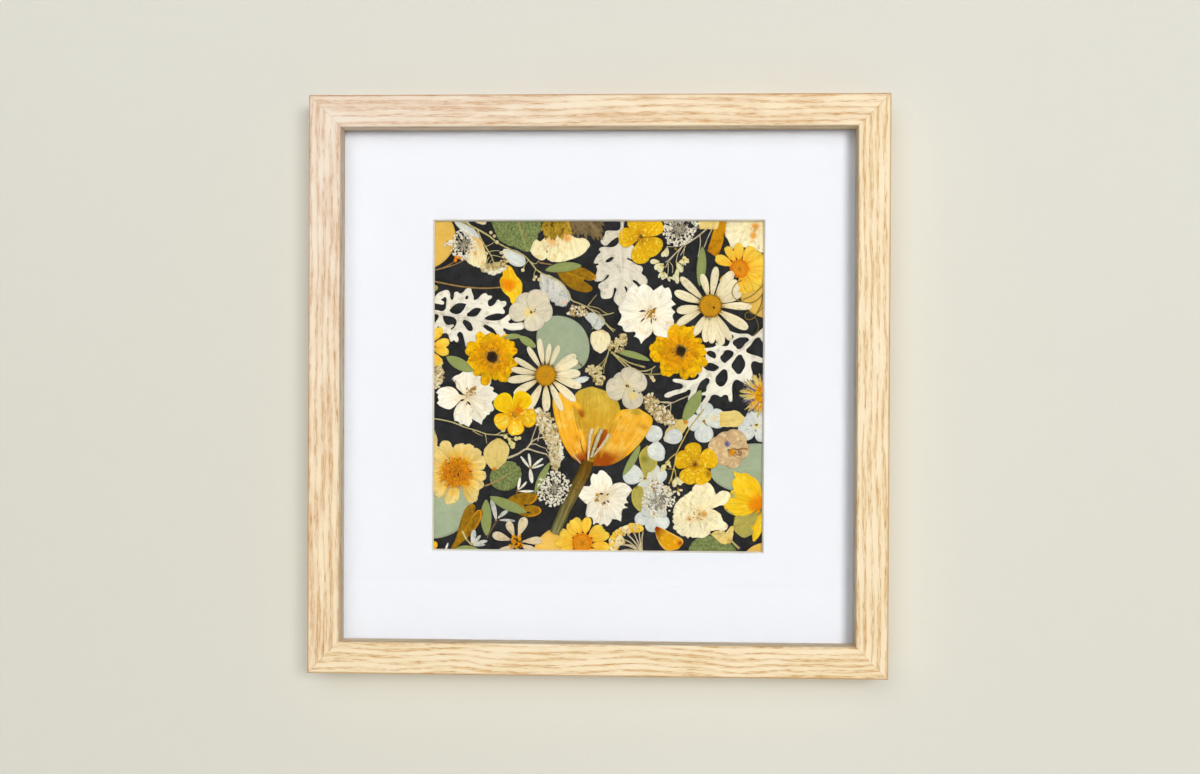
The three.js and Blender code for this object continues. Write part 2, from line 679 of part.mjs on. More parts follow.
addCurved("ochre_lobed_top", [
  [-25, 66], [-20, 59.5], [-14, 55.3], [-7, 54], [-3.6, 55.5], [-5, 58], [-8.5, 61], [-5, 60.6],
  [-1.8, 61.2], [-2, 63.5], [-6, 66.5], [-12, 68.5], [-19, 66],
], 36, 0, OCHRE);

addCurved("ochre_lobed_left", [
  [-83, -93.5], [-78, -90], [-73, -87], [-69, -80], [-66.5, -73], [-67.5, -71.2], [-70, -74],
  [-72, -77], [-70.5, -71], [-71.6, -68.6], [-75, -71], [-79, -76], [-81.5, -84],
], 36, 1, OCHRE);

// Flower heads of many small florets

addCurved("yarrow_left", [
  [-38, -14.5], [-37, -21], [-33.5, -26], [-30.5, -33], [-28.5, -40], [-27, -46], [-23.5, -49],
  [-20.3, -43], [-19.3, -36], [-22.5, -27], [-25.5, -20], [-28, -15.8], [-33, -13.6],
], 40, 0, TAN);

addFlower("umbel_top", {
  x: 46.3, z: 89, heart: 9, steps: 36, ripple: 0.7, ripples: 11, petals: [],
}, 0, WHITE);
addFlower("umbel_bottom", {
  x: -25, z: -59.5, heart: 10, steps: 36, ripple: 0.8, ripples: 11, petals: [],
}, 2, WHITE);

export default frame;
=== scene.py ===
"""Pressed flower frame: an oak frame, a white mat and pressed flowers under glass."""

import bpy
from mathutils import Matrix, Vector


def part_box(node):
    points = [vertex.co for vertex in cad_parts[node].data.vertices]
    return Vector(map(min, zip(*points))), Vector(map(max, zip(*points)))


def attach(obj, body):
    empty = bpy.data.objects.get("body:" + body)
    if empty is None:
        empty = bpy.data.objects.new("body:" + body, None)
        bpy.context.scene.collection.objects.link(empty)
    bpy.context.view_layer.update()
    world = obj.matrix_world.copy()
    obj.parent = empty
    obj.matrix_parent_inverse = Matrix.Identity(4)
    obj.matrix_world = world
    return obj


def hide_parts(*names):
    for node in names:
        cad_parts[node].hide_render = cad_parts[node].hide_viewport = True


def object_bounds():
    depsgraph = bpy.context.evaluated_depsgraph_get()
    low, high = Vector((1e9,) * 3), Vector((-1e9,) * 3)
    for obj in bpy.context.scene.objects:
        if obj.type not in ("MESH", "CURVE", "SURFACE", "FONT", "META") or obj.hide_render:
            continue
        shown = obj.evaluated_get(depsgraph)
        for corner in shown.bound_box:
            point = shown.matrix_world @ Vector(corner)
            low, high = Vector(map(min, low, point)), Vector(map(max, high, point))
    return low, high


bl_info = {
    "name": "Pressed Flower Frame",
    "version": (1, 0, 0),
    "blender": (4, 5, 0),
    "location": "3D View > Sidebar > Flower Frame",
    "description": "Finishes an oak frame and lays out its pressed flowers, leaves and stems",
    "category": "Object",
}

import math
import random

import bmesh
import bpy
from bpy.props import FloatProperty, FloatVectorProperty, PointerProperty
from mathutils import Matrix, Vector, noise

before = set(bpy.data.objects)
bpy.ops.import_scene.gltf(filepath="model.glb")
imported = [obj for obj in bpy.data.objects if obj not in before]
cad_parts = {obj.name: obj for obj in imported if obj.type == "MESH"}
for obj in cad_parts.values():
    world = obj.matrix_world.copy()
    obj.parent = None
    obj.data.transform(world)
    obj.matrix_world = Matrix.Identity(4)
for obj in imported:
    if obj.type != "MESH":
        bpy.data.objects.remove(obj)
CAD_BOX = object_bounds()

MM = 0.001
MAT_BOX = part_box("mat")
WINDOW_X = (MAT_BOX[0][0] + MAT_BOX[1][0]) / 2
WINDOW_Z = (MAT_BOX[0][2] + MAT_BOX[1][2]) / 2
WINDOW_HALF = 95.25 * MM
CARD_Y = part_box("backing_card")[0][1]
CARD_GAP = 0.06 * MM
LAYER = 0.3 * MM
SHEET_STEP = 0.012 * MM
CROWDED_STEP = 0.0035 * MM
FLORET_STEP = 0.0012 * MM
SPINE_STEP = 0.003 * MM
YARROW_STEP = 0.004 * MM
TWIG_STEP = 0.008 * MM
SHEET_CELL = 1.6
OUTLINE_STEPS = 5

WALL_SIZE = (9.0, 5.0)
WALL_MIDDLE_Z = 0.6
FLOOR_SIZE = (9.0, 9.0)
FLOOR_SPOT = (0, -4.5, -1.4)
KEY_SPOT = (1.25, -2.9, 0.55)
KEY_SIZE = 1.1
FILL_SPOT = (-0.5, -3.0, 0.9)
FILL_SIZE = 3.2
BACK_SPOT = (0.9, 1.8, 0.9)
BACK_SIZE = 2.4
SENSOR = 36.0
CAMERA_SPOT = (0.03613, -0.81262, -0.16502)
CAMERA_YAW = 2.211
CAMERA_PITCH = -0.378
CAMERA_ROLL = 0.263
SHIFT = (-0.0055, 0.0239)


def paint(code):
    """A colour from its usual six-digit code, as the linear values that shaders use."""
    parts = [int(code[i : i + 2], 16) / 255 for i in (0, 2, 4)]
    return tuple(p / 12.92 if p <= 0.04045 else ((p + 0.055) / 1.055) ** 2.4 for p in parts)


def colour_property(name, description, code):
    """A colour that can be set in the sidebar."""
    settings = dict(subtype="COLOR", size=3, min=0, max=1)
    return FloatVectorProperty(name=name, description=description, default=paint(code), **settings)


class FrameFinish(bpy.types.PropertyGroup):
    """The finishes of the frame, its glazing and its fittings."""

    oak: colour_property("Oak", "Colour of the pale oak", "f7e5c3")
    oak_streak: colour_property("Oak streak", "Colour of the darker streaks", "d09c58")
    oak_rosy: colour_property("Rosy oak", "Colour of the pale oak in the upper left", "f2e4d2")
    oak_rosy_streak: colour_property("Rosy oak streak", "Its darker streaks in the upper left", "d6ad8c")
    oak_pore: colour_property("Oak pore", "Colour of the pores and growth lines", "b27c3e")
    oak_edge: colour_property("Oak edge", "Colour of the oiled outer edge", "b9803f")
    mat: colour_property("Mat", "Colour of the mat's face", "ecedf2")
    mat_core: colour_property("Mat core", "Colour of the mat's bevelled core", "e6e2d8")
    card: colour_property("Card", "Colour of the backing card", "161614")
    board: colour_property("Back board", "Colour of the hardboard", "8a6643")
    steel: colour_property("Steel", "Colour of the tabs, hanger and nails", "b6b5b0")
    rubber: colour_property("Rubber", "Colour of the bumpers", "2c2c2c")


class PetalFinish(bpy.types.PropertyGroup):
    """The thickness and the main colours of the pressed petals and leaves."""

    thickness: FloatProperty(
        name="Petal thickness", description="How thick a pressed petal is",
        default=0.00009, min=0.00002, max=0.0003, precision=5, subtype="DISTANCE", unit="LENGTH",
    )
    cream: colour_property("Cream petal", "Carnation petals", "faebb9")
    gold: colour_property("Golden petal", "Chrysanthemum petals", "f0ae04")
    orange: colour_property("Orange petal", "Orange daisy petals", "fdc53a")
    beige: colour_property("Beige petal", "Viola petals", "e4dabc")
    peach: colour_property("Peach petal", "Peach viola petals", "d2ae7c")
    bluish: colour_property("Bluish petal", "Hydrangea petals", "dfe2da")
    sage: colour_property("Sage leaf", "Round eucalyptus leaves", "aab495")
    ochre: colour_property("Ochre leaf", "Lobed autumn leaves", "b4820b")
    felt: colour_property("Felted leaf", "White felted leaves", "f3ecd9")


class StudioSettings(bpy.types.PropertyGroup):
    """The wall, floor and light round the frame."""

    wall: colour_property("Wall", "Colour of the plain wall", "dfded6")
    floor: colour_property("Floor", "Colour of the plain floor", "d8d5cc")
    key_power: FloatProperty(
        name="Key light", description="Power of the soft light from the upper right",
        default=38.0, min=0.0, subtype="POWER", unit="POWER",
    )
    fill_power: FloatProperty(
        name="Fill light", description="Power of the wide light from the front",
        default=60.0, min=0.0, subtype="POWER", unit="POWER",
    )
    back_power: FloatProperty(
        name="Back light", description="Power of the light behind the wall plane, for views of the back",
        default=48.0, min=0.0, subtype="POWER", unit="POWER",
    )
    fill: FloatProperty(
        name="Surroundings", description="Strength of the light all round", default=0.12, min=0.0
    )
    lens: FloatProperty(
        name="Lens", description="Focal length of the camera", default=42.0, min=1.0, unit="CAMERA"
    )


# ---- Shading ----


def shader_colour(colour):
    """Four shader values, from a six-digit code, a petal colour's name or three linear values."""
    if isinstance(colour, str):
        if colour in PetalFinish.__annotations__:
            colour = getattr(bpy.context.scene.flower_petals, colour)
        else:
            colour = paint(colour)
    return (*colour, 1.0)


class Shading:
    """One material and its nodes. Most methods add a node and give its output."""

    def __init__(self, name, roughness, specular, metallic=0.0):
        self.material = bpy.data.materials.new(name)
        self.material.use_nodes = True
        self.tree = self.material.node_tree
        self.shader = self.tree.nodes["Principled BSDF"]
        self.surface("Roughness", roughness)
        self.surface("Specular IOR Level", specular)
        self.surface("Metallic", metallic)

    def feed(self, socket, value):
        """Links an input to another node's output, or sets it."""
        if isinstance(value, bpy.types.NodeSocket):
            self.tree.links.new(value, socket)
        else:
            socket.default_value = shader_colour(value) if socket.type == "RGBA" else value

    def surface(self, socket, value):
        """Links or sets an input of the surface itself."""
        self.feed(self.shader.inputs[socket], value)

    def add(self, kind, inputs=(), **settings):
        """One node with its settings, and its inputs by number or name."""
        node = self.tree.nodes.new("ShaderNode" + kind)
        for name, value in settings.items():
            setattr(node, name, value)
        for socket, value in dict(inputs).items():
            self.feed(node.inputs[socket], value)
        return node

    def math(self, operation, first, second=0.0, third=0.0, clamp=False):
        """A sum of one, two or three values."""
        inputs = {0: first, 1: second, 2: third}
        return self.add("Math", inputs, operation=operation, use_clamp=clamp).outputs[0]

    def times(self, first, second, plus=None):
        """first x second, plus a third value if there is one."""
        if plus is None:
            return self.math("MULTIPLY", first, second)
        return self.math("MULTIPLY_ADD", first, second, plus)

    def apart(self, first, second):
        """How far two values are apart."""
        return self.math("ABSOLUTE", self.math("SUBTRACT", first, second))

    def fade(self, factor, low, high, start=0.0, end=1.0):
        """A value that goes softly from start to end while the factor goes from low to high."""
        inputs = {0: factor, 1: low, 2: high, 3: start, 4: end}
        return self.add("MapRange", inputs, interpolation_type="SMOOTHSTEP").outputs[0]

    def ramp(self, factor, *stops):
        """Colours along a factor, from (place, colour) stops."""
        node = self.add("ValToRGB", {0: factor})
        elements = node.color_ramp.elements
        while len(elements) < len(stops):
            elements.new(0.5)
        for element, (place, colour) in zip(elements, stops):
            element.position = place
            element.color = shader_colour(colour)
        return node.outputs[0]

    def mix(self, factor, first, second, blend="MIX"):
        """Two colours mixed by a factor."""
        inputs = {0: factor, 6: first, 7: second}
        return self.add("Mix", inputs, data_type="RGBA", blend_type=blend).outputs[2]

    def shaded(self, colour, light):
        """A colour times a plain value."""
        grey = self.add("CombineColor", {0: light, 1: light, 2: light}).outputs[0]
        return self.mix(1.0, colour, grey, "MULTIPLY")

    def vector(self, x, y, z):
        """Three values as one place."""
        return self.add("CombineXYZ", {0: x, 1: y, 2: z}).outputs[0]

    def places(self, scale, location=(0, 0, 0)):
        """The places on the object, scaled and moved."""
        spots = self.add("TexCoord").outputs["Object"]
        inputs = {"Vector": spots, "Scale": scale, "Rotation": (0, 0, 0), "Location": location}
        return self.add("Mapping", inputs).outputs[0]

    def spot(self):
        """The place's x, y and z on the object, in metres."""
        return self.add("SeparateXYZ", {0: self.add("TexCoord").outputs["Object"]}).outputs

    def grain(self, vector, scale, detail=4.0, roughness=0.55):
        """Noise as a plain value."""
        inputs = {"Vector": vector, "Scale": scale, "Detail": detail, "Roughness": roughness}
        return self.add("TexNoise", inputs).outputs[0]

    def sheet(self):
        """Across and along a petal, and the petal's own shade number."""
        parts = self.add("SeparateXYZ", {0: self.add("TexCoord").outputs["UV"]})
        return parts.outputs[0], parts.outputs[1], self.number("shade")

    def number(self, name):
        """A number that each vertex carries."""
        return self.add("Attribute", attribute_name=name).outputs["Fac"]

    def from_middle(self):
        """The greater of the distances from the window's middle, across and up."""
        x, _, z = self.spot()
        return self.math("MAXIMUM", self.apart(x, WINDOW_X), self.apart(z, WINDOW_Z))

    def finish(self, colour, height, strength, distance):
        """Gives the surface its colour and bumps, and gives back the material."""
        self.surface("Base Color", colour)
        inputs = {"Height": height, "Strength": strength, "Distance": distance}
        self.surface("Normal", self.add("Bump", inputs).outputs[0])
        return self.material


MILLIMETRES = (1000, 1000, 1000)


# ---- Petal and leaf paints ----


def petal_paint(
    name, foot, body, tip, streaks=26, streak=0.5, blotch_and_sheen=None, blotch_and_sheen_share=0.5, blotch_and_sheen_size=4.0,
    rim=None, rim_width=0.12, spread=0.16, foot_end=0.3, stain=None, vein=0.12,
):
    """A dry petal: colour from foot to tip, fine streaks along it, blotches and a paler or darker rim. On
    the buttercups the pale blotches are painted highlights of their glossy petals.
    """
    look = Shading(name, roughness=0.75, specular=0.05)
    across, along, shade = look.sheet()

    def fibres(per_width, per_length, jump, detail, roughness=0.55):
        x, y = look.times(across, per_width), look.times(along, per_length)
        return look.grain(look.vector(x, y, look.times(shade, jump)), 1.0, detail, roughness)

    lines = fibres(streaks, 1.7, 37.0, 3.0, 0.6)
    drift = look.times(look.math("SUBTRACT", lines, 0.5), streak)
    place = look.math("ADD", along, drift, clamp=True)
    colour = look.ramp(place, (0.02, foot), (foot_end, body), (0.95, tip))
    places = look.places(MILLIMETRES)
    # Blotches of a second colour; on the buttercups these pale blotches are painted highlights.
    if blotch_and_sheen is not None:
        cloud = look.grain(places, 1 / blotch_and_sheen_size, 6.0, 0.65)
        mask = look.fade(cloud, 0.62 - 0.3 * blotch_and_sheen_share, 0.72 - 0.2 * blotch_and_sheen_share)
        colour = look.mix(mask, colour, blotch_and_sheen)
    if rim is not None:
        edge = look.fade(look.apart(across, 0.5), 0.5 - rim_width, 0.5)
        colour = look.mix(look.times(edge, 0.75), colour, rim)
    if stain is not None:
        ragged = look.times(look.number("stain"), look.times(lines, 1.6, 0.35))
        colour = look.mix(look.fade(ragged, 0.15, 0.8), colour, stain)
    fine = look.grain(places, 2.2, 3.0)
    veins = look.fade(fibres(streaks * 2.3, 2.6, 91.0, 2.0), 0.48, 0.34)
    light = look.times(lines, 0.5, 0.68)
    light = look.times(fine, 0.24, look.math("SUBTRACT", light, 0.1))
    light = look.times(veins, -vein, light)
    light = look.times(light, look.times(shade, spread, 1 - 0.55 * spread))
    height = look.times(fine, 0.5, look.times(veins, -0.5, lines))
    return look.finish(look.shaded(colour, light), height, 0.8, 0.00015)


def leaf_paint(name, body, vein, dark, ribs=9, rib_slope=1.1, rib_strength=0.5, mottle=0.35, patch=3.0):
    """A dry leaf with its midrib and side ribs, mottled between them."""
    look = Shading(name, roughness=0.7, specular=0.08)
    across, along, shade = look.sheet()
    from_rib = look.apart(across, 0.5)
    places = look.places(MILLIMETRES)
    sweep = look.times(from_rib, -rib_slope, along)
    sweep = look.times(look.grain(places, 0.35, 2.0), 0.1, sweep)
    wave = look.math("FRACT", look.times(sweep, ribs))
    side_ribs = look.fade(look.apart(wave, 0.5), 0.42, 0.5)
    midrib = look.fade(from_rib, 0.03, 0.008)
    all_ribs = look.math("MAXIMUM", look.times(side_ribs, 0.55), midrib)
    cloud = look.grain(places, 1 / patch, 7.0, 0.7)
    fine = look.grain(places, 3.2, 4.0, 0.7)
    colour = look.mix(look.fade(cloud, 0.35, 0.7, 0.0, mottle), body, dark)
    colour = look.mix(look.fade(fine, 0.35, 0.75, 0.0, mottle * 0.7), colour, dark)
    colour = look.mix(look.times(all_ribs, rib_strength), colour, vein)
    colour = look.shaded(colour, look.times(shade, 0.16, 0.92))
    return look.finish(colour, look.times(fine, 0.4, all_ribs), 0.5, 0.00012)


def plain_paint(name, body, dark, size=1.5):
    """One dry colour that varies softly, for stems, stamens and florets."""
    look = Shading(name, roughness=0.7, specular=0.06)
    cloud = look.grain(look.places(MILLIMETRES), 1 / size, 5.0, 0.65)
    factor = look.times(look.sheet()[2], 0.5, look.fade(cloud, 0.35, 0.7, -0.1, 0.6))
    return look.finish(look.mix(factor, body, dark), cloud, 0.4, 0.0001)


def heart_paint(name, middle, body, rim, cell=0.45):
    """A flower's packed heart: small bumps, coloured from its middle to its rim, with painted shade between
    the bumps and a faint painted highlight on their tops.
    """
    look = Shading(name, roughness=0.75, specular=0.2)
    outwards = look.sheet()[1]
    places = look.places(MILLIMETRES)
    cells = look.add("TexVoronoi", {"Vector": places, "Scale": 1 / cell}).outputs["Distance"]
    place = look.times(look.grain(places, 0.6), 0.3, look.math("SUBTRACT", outwards, 0.15))
    colour = look.ramp(place, (0.05, middle), (0.35, body), (0.8, body), (1.0, rim))
    # Painted shade and highlight: each bump darkens towards its edge and brightens a little on its top,
    # following its height.
    colour = look.shaded(colour, look.fade(cells, 0.2, 0.7, 1.08, 0.7))
    return look.finish(colour, look.math("SUBTRACT", 1.0, cells), 0.8, 0.0003)


# ---- The finishes by name ----

# foot, body and tip colours, streaks across, their strength, blotch colour, share and size in mm; the
# buttercups' pale blotches are painted highlights
PETAL_FINISHES = {
    "daisy petal": ("dbbb73", "f5e5b9", "f8ecc8", 7, 0.2, "e8d39d", 0.3, 2.4, dict(rim="fcf1cb", vein=0.1)),
    "larkspur petal": ("e9cf96", "faefd4", "fdf7e5", 14, 0.3, "efdeb5", 0.3, 5, dict(spread=0.2)),
    "chrysanthemum petal": (
        "c17001", "gold", "fcc406", 9, 0.35, "d88a02", 0.42, 1.8,
        dict(rim="fdc80b", spread=0.4, vein=0.2),
    ),
    "chrysanthemum inner petal": (
        "ac6201", "ea9c04", "f4af04", 9, 0.4, "d88402", 0.4, 1.6, dict(spread=0.35),
    ),
    # The pale blotches of the three buttercups' petals are painted highlights of their gloss.
    "buttercup petal": (
        "c38102", "e8ad04", "efbb08", 12, 0.35, "f7e154", 0.36, 1.7, dict(stain="ab7402", vein=0.2),
    ),
    "lemon petal": (
        "e09202", "f6c003", "f9cd06", 10, 0.35, "fbea5a", 0.2, 2.0, dict(rim="fdea27", stain="e8a304"),
    ),
    "amber petal": (
        "e39402", "f8b608", "fdc510", 10, 0.3, "fdee65", 0.36, 2.0, dict(rim="f7a602", stain="fde669"),
    ),
    "orange petal": ("faa914", "orange", "fdd850", 10, 0.35, "fdb925", 0.35, 2.6),
    "cream ray": (
        "eb9904", "f2c24c", "f6dd8f", 9, 0.5, "e2c577", 0.35, 2.4,
        dict(rim="fce8a1", foot_end=0.5, vein=0.14),
    ),
    "tan ray": ("dfc592", "e3cda0", "e9d8b4", 8, 0.25, "c9b184", 0.4, 1.8, dict(rim="f0e3c6")),
    "viola petal": (
        "e8d6a1", "beige", "dacfb7", 12, 0.25, "ebddbb", 0.45, 4,
        dict(rim="bfb6a3", rim_width=0.06, stain="f7dd81"),
    ),
    "peach petal": (
        "d9b782", "peach", "c7a57a", 12, 0.3, "e3ca98", 0.45, 3,
        dict(rim="b99468", rim_width=0.06, stain="6a5d97"),
    ),
    "bluish petal": (
        "e4e0c2", "bluish", "daded7", 10, 0.2, "eaeadd", 0.4, 3.5,
        dict(rim="cacec8", rim_width=0.07, stain="efdfa4"),
    ),
    "carnation petal": ("e6c37d", "cream", "fdf1c9", 12, 0.4, "f1dba3", 0.35, 4, dict(stain="e39f44")),
    "cream petal": ("e8b86f", "f4dfa3", "fbf0c0", 12, 0.45, "efcb85", 0.35, 3, dict(stain="f2a952")),
    "calyx": ("6e5606", "947606", "c09a30", 6, 0.6, "5e4a06", 0.4, 2, dict(spread=0.6)),
    "bright petal": ("ef9e03", "f8c014", "fccf24", 14, 0.5, "fddb3f", 0.35, 4, dict(stain="f48f01")),
    "olive petal": (
        "c9b23a", "b8ac4e", "c2b456", 14, 0.4, "a9a25a", 0.5, 3, dict(rim="e6cf4c", stain="8d8636"),
    ),
    "tulip petal": (
        "973605", "f9ab27", "fdc232", 22, 0.6, "fdc854", 0.5, 6,
        dict(stain="ae4f05", rim="fdbb0a", rim_width=0.1, vein=0.16, foot_end=0.22),
    ),
    "tulip inner petal": (
        "e2920c", "e1b130", "d8ba44", 22, 0.6, "ecc349", 0.5, 6,
        dict(stain="b89008", foot_end=0.45, vein=0.16),
    ),
    "tulip base": ("5a1404", "8d3206", "c4660c", 8, 0.6),
    "tulip stem": ("7a5208", "8a6a22", "8f8a56", 7, 0.2, "5e4a18", 0.2, 4, dict(vein=0.6)),
    "ember petal": (
        "7a1a02", "e3a40c", "ea9c06", 10, 0.4, "f2c238", 0.3, 4,
        dict(rim="f5d074", stain="a63c04", foot_end=0.4),
    ),
    "ochre petal": ("b97a04", "cf9208", "c88406", 12, 0.4, "a66c04", 0.4, 3),
    "straw petal": (
        "eac864", "eed482", "eccd73", 10, 0.3, "e0c373", 0.4, 4, dict(rim="f6e095", stain="e08f12"),
    ),
    "umber petal": ("6e5a38", "8f7850", "7d6844", 6, 0.5, "5e4c30", 0.4, 2, dict(spread=0.5)),
    "ash petal": ("e5dcc6", "e0dccf", "cfcdc4", 8, 0.3, "b4b2a8", 0.4, 3, dict(stain="f0c9a4")),
    "felted leaf": ("ece4cc", "felt", "f7f1dd", 4, 0.2, "d8cfb7", 0.3, 5, dict(spread=0.05)),
    "grey felt": ("dcd2bb", "e4dbc4", "ece4ce", 6, 0.3, "c8bfab", 0.35, 3, dict(spread=0.08)),
    "white leaflet": ("efe6c6", "f9f3dd", "fdfaea", 5, 0.3, "c8c2ac", 0.3, 1.5),
    "lemon leaflet": ("e5d27c", "efe6b0", "f6f0c8", 5, 0.3, "d9c47a", 0.35, 1.6),
}
# body, vein and mottling colours
LEAF_FINISHES = {
    "sage leaf": ("sage", "b1bb99", "879675", dict(ribs=7, rib_strength=0.25, mottle=0.4, patch=6.0)),
    "ochre leaf": ("eec25d", "f4d174", "d6a337", dict(ribs=6, rib_strength=0.25, mottle=0.45, patch=5.0)),
    "autumn leaf": (
        "ochre", "d19805", "5d4207",
        dict(ribs=16, rib_slope=3.0, rib_strength=0.4, mottle=0.8, patch=2.6),
    ),
    "narrow leaf": (
        "99a361", "aab370", "788544",
        dict(ribs=14, rib_slope=2.2, rib_strength=0.3, mottle=0.45, patch=2.0),
    ),
    "dark leaf": ("3a4d17", "95a15a", "a4ac6e", dict(ribs=9, rib_strength=0.6, mottle=0.66, patch=1.1)),
}
# body and darker colour, and the size in mm of its cloudy patches
PLAIN_FINISHES = {
    "dark fringe": ("5a431a", "1d150a"),
    "stamen": ("d19a22", "8f5f18", 0.8),
    "dark mark": ("2b2a2c", "121112"),
    "olive tuft": ("a39a62", "4c4418"),
    "orange fringe": ("f8980c", "d9720a", 0.6),
    "gold floret": ("f5b70c", "db8108", 0.7),
    "brown speck": ("6f4511", "2a1806", 0.7),
    "autumn edge": ("f0a008", "d98e06"),
    "white floret": ("fbf6e3", "ddd2b4", 0.9),
    "grey floret": ("bdb6a2", "6d6756", 0.8),
    "cream floret": ("ecdcae", "c4ad74", 0.9),
    "tan floret": ("ccae74", "86683a", 0.8),
    "lemon floret": ("f0e6a8", "cbb65c", 1.2),
    "straw stem": ("d8cb8e", "9c8a4c", 2.0),
    "tan stem": ("c09a5c", "8a6830", 3.0),
    "pale stem": ("e2d6b6", "b39f70", 2.0),
    "brown stem": ("b58c58", "7e5a30", 1.5),
    "tendril": ("a08636", "6b5a26", 1.5),
    "yellow stem": ("e3c86a", "b89a48", 2.0),
    "thistle spine": ("ecd98c", "bda04a", 1.0),
    "grey spine": ("8d8490", "55505c", 1.0),
}
# middle, body and rim colours, and the size of a bump in mm
HEART_FINISHES = {
    "daisy heart": ("b98a10", "d99a0a", "9a6c0c", 0.5),
    "chrysanthemum heart": ("0d0903", "2c1f08", "5f430f"),
    "orange heart": ("c47a08", "f0990a", "fb8d05", 0.6),
}
FINISHES = (
    (PETAL_FINISHES, petal_paint),
    (LEAF_FINISHES, leaf_paint),
    (PLAIN_FINISHES, plain_paint),
    (HEART_FINISHES, heart_paint),
)


def finishes(*names):
    """The finishes with these names, in the order that the sheets count them, made when first asked for."""
    for name in names:
        if name not in bpy.data.materials:
            maker, look = next((maker, table[name]) for table, maker in FINISHES if name in table)
            more = look[-1] if isinstance(look[-1], dict) else {}
            maker(name, *[value for value in look if value is not more], **more)
    return [bpy.data.materials[name] for name in names]


# ---- The frame's own finishes ----


def rail_paint(name, along, seed, warmth, figure):
    """Oak along one axis of a rail: streaks, pores, a flowing figure and a darker outer front edge."""
    oak = bpy.context.scene.flower_frame
    look = Shading(name, roughness=0.55, specular=0.3)
    shift = (seed * 0.37, seed * 0.11, seed * 0.53)
    x, depth, z = look.add("SeparateXYZ", {0: look.places((1, 1, 1), shift)}).outputs
    length, width = (x, z) if along == "x" else (z, x)

    def board_grain(per_length, per_width, per_depth, detail, roughness=0.55):
        x, y = look.times(length, per_length), look.times(width, per_width)
        return look.grain(look.vector(x, y, look.times(depth, per_depth)), 1.0, detail, roughness)

    sway = board_grain(9, 16, 16, 2.0)
    bands = look.times(width, 265.0, look.times(sway, figure))
    bands = look.times(depth, 150.0, bands)
    uneven = board_grain(26, 130, 130, 4.0, 0.6)
    near = look.apart(look.math("FRACT", bands), 0.5)
    late = look.fade(look.times(uneven, 1.0, near), 0.62, 0.94)
    streaks = board_grain(90, 1300, 900, 4.0, 0.65)
    pores = board_grain(150, 2600, 2000, 2.0, 0.5)
    spot = look.spot()
    across_frame = look.math("SUBTRACT", spot[2], spot[0])
    rosy = look.fade(across_frame, WINDOW_Z + 0.06, WINDOW_Z + 0.3)
    pale = look.mix(rosy, oak.oak, oak.oak_rosy)
    dark = look.mix(rosy, oak.oak_streak, oak.oak_rosy_streak)
    colour = look.mix(look.fade(uneven, 0.35, 0.65, 0.0, 0.4), pale, warmth)
    broken = look.times(look.fade(streaks, 0.42, 0.58, 0.15), look.fade(pores, 0.36, 0.6, 0.5))
    colour = look.mix(look.times(look.times(late, broken), 0.85), colour, dark)
    colour = look.mix(look.fade(streaks, 0.55, 0.75, 0.0, 0.4), colour, dark)
    pore_mask = look.times(look.fade(pores, 0.56, 0.66), look.fade(late, 0.0, 0.7, 0.12))
    colour = look.mix(look.times(pore_mask, 0.6), colour, oak.oak_pore)
    # The colour turns darker in a band about 1.5 mm wide round the outer front edge.
    outer, front = (CAD_BOX[1][0] - CAD_BOX[0][0]) / 2, CAD_BOX[0][1]
    at_front = look.fade(look.spot()[1], front + 1.6 * MM, front + 0.3 * MM)
    darkened = look.times(look.fade(look.from_middle(), outer - 1.5 * MM, outer - 0.2 * MM), at_front)
    colour = look.mix(look.times(darkened, 0.7), colour, oak.oak_edge)
    return look.finish(colour, look.times(pore_mask, -0.8, streaks), 0.35, 0.0001)


def glass_paint():
    """Clear glass with a breath of grey."""
    look = Shading("clear glass", roughness=0.02, specular=0.5)
    look.surface("Transmission Weight", 1.0)
    look.surface("IOR", 1.45)
    haze = look.grain(look.places((1, 1, 1)), 40.0, 2.0)
    look.surface("Base Color", look.ramp(haze, (0.3, (0.955, 0.962, 0.962)), (0.7, (0.962, 0.966, 0.966))))
    return look.material


def mat_paint():
    """The mat's white face, and its warmer core where the window is bevelled."""
    finish = bpy.context.scene.flower_frame
    look = Shading("mat board", roughness=0.9, specular=0.15)
    bevel = look.fade(look.from_middle(), WINDOW_HALF + 0.05 * MM, WINDOW_HALF - 0.05 * MM)
    fibre = look.grain(look.places((900, 900, 900)), 1.0, 5.0, 0.7)
    face = look.mix(look.fade(fibre, 0.3, 0.75, 0.0, 0.12), finish.mat, "d6d9e2")
    core = look.mix(look.fade(fibre, 0.3, 0.7, 0.0, 0.4), finish.mat_core, "d8d2c4")
    return look.finish(look.mix(bevel, face, core), fibre, 0.12, 0.00005)


def sheet_paint(name, body, dark, scale, share, roughness=0.9):
    """A board or card: fibres of a second colour in a plain body."""
    look = Shading(name, roughness, specular=0.15)
    places = look.places(MILLIMETRES)
    fibre = look.grain(places, scale, 6.0, 0.7)
    cloud = look.grain(places, scale / 14, 3.0)
    colour = look.mix(look.fade(fibre, 0.42, 0.68, 0.0, share), body, dark)
    colour = look.mix(look.fade(cloud, 0.35, 0.7, 0.0, share * 0.6), colour, dark)
    return look.finish(colour, fibre, 0.25, 0.00008)


def steel_paint(name, stretch):
    """Steel, brushed along the axis that is stretched least."""
    finish = bpy.context.scene.flower_frame
    look = Shading(name, roughness=0.35, specular=0.5, metallic=0.7)
    brushed = look.grain(look.places(stretch), 1.0)
    look.surface("Roughness", look.fade(brushed, 0.3, 0.7, 0.28, 0.5))
    colour = look.mix(look.fade(brushed, 0.3, 0.7, 0.0, 0.5), finish.steel, "7e7d78")
    return look.finish(colour, brushed, 0.15, 0.00003)


def give(node, material):
    """Puts a finish on one of the frame's own pieces."""
    piece = bpy.data.objects[node]
    piece.data.materials.clear()
    piece.data.materials.append(material)
    return piece


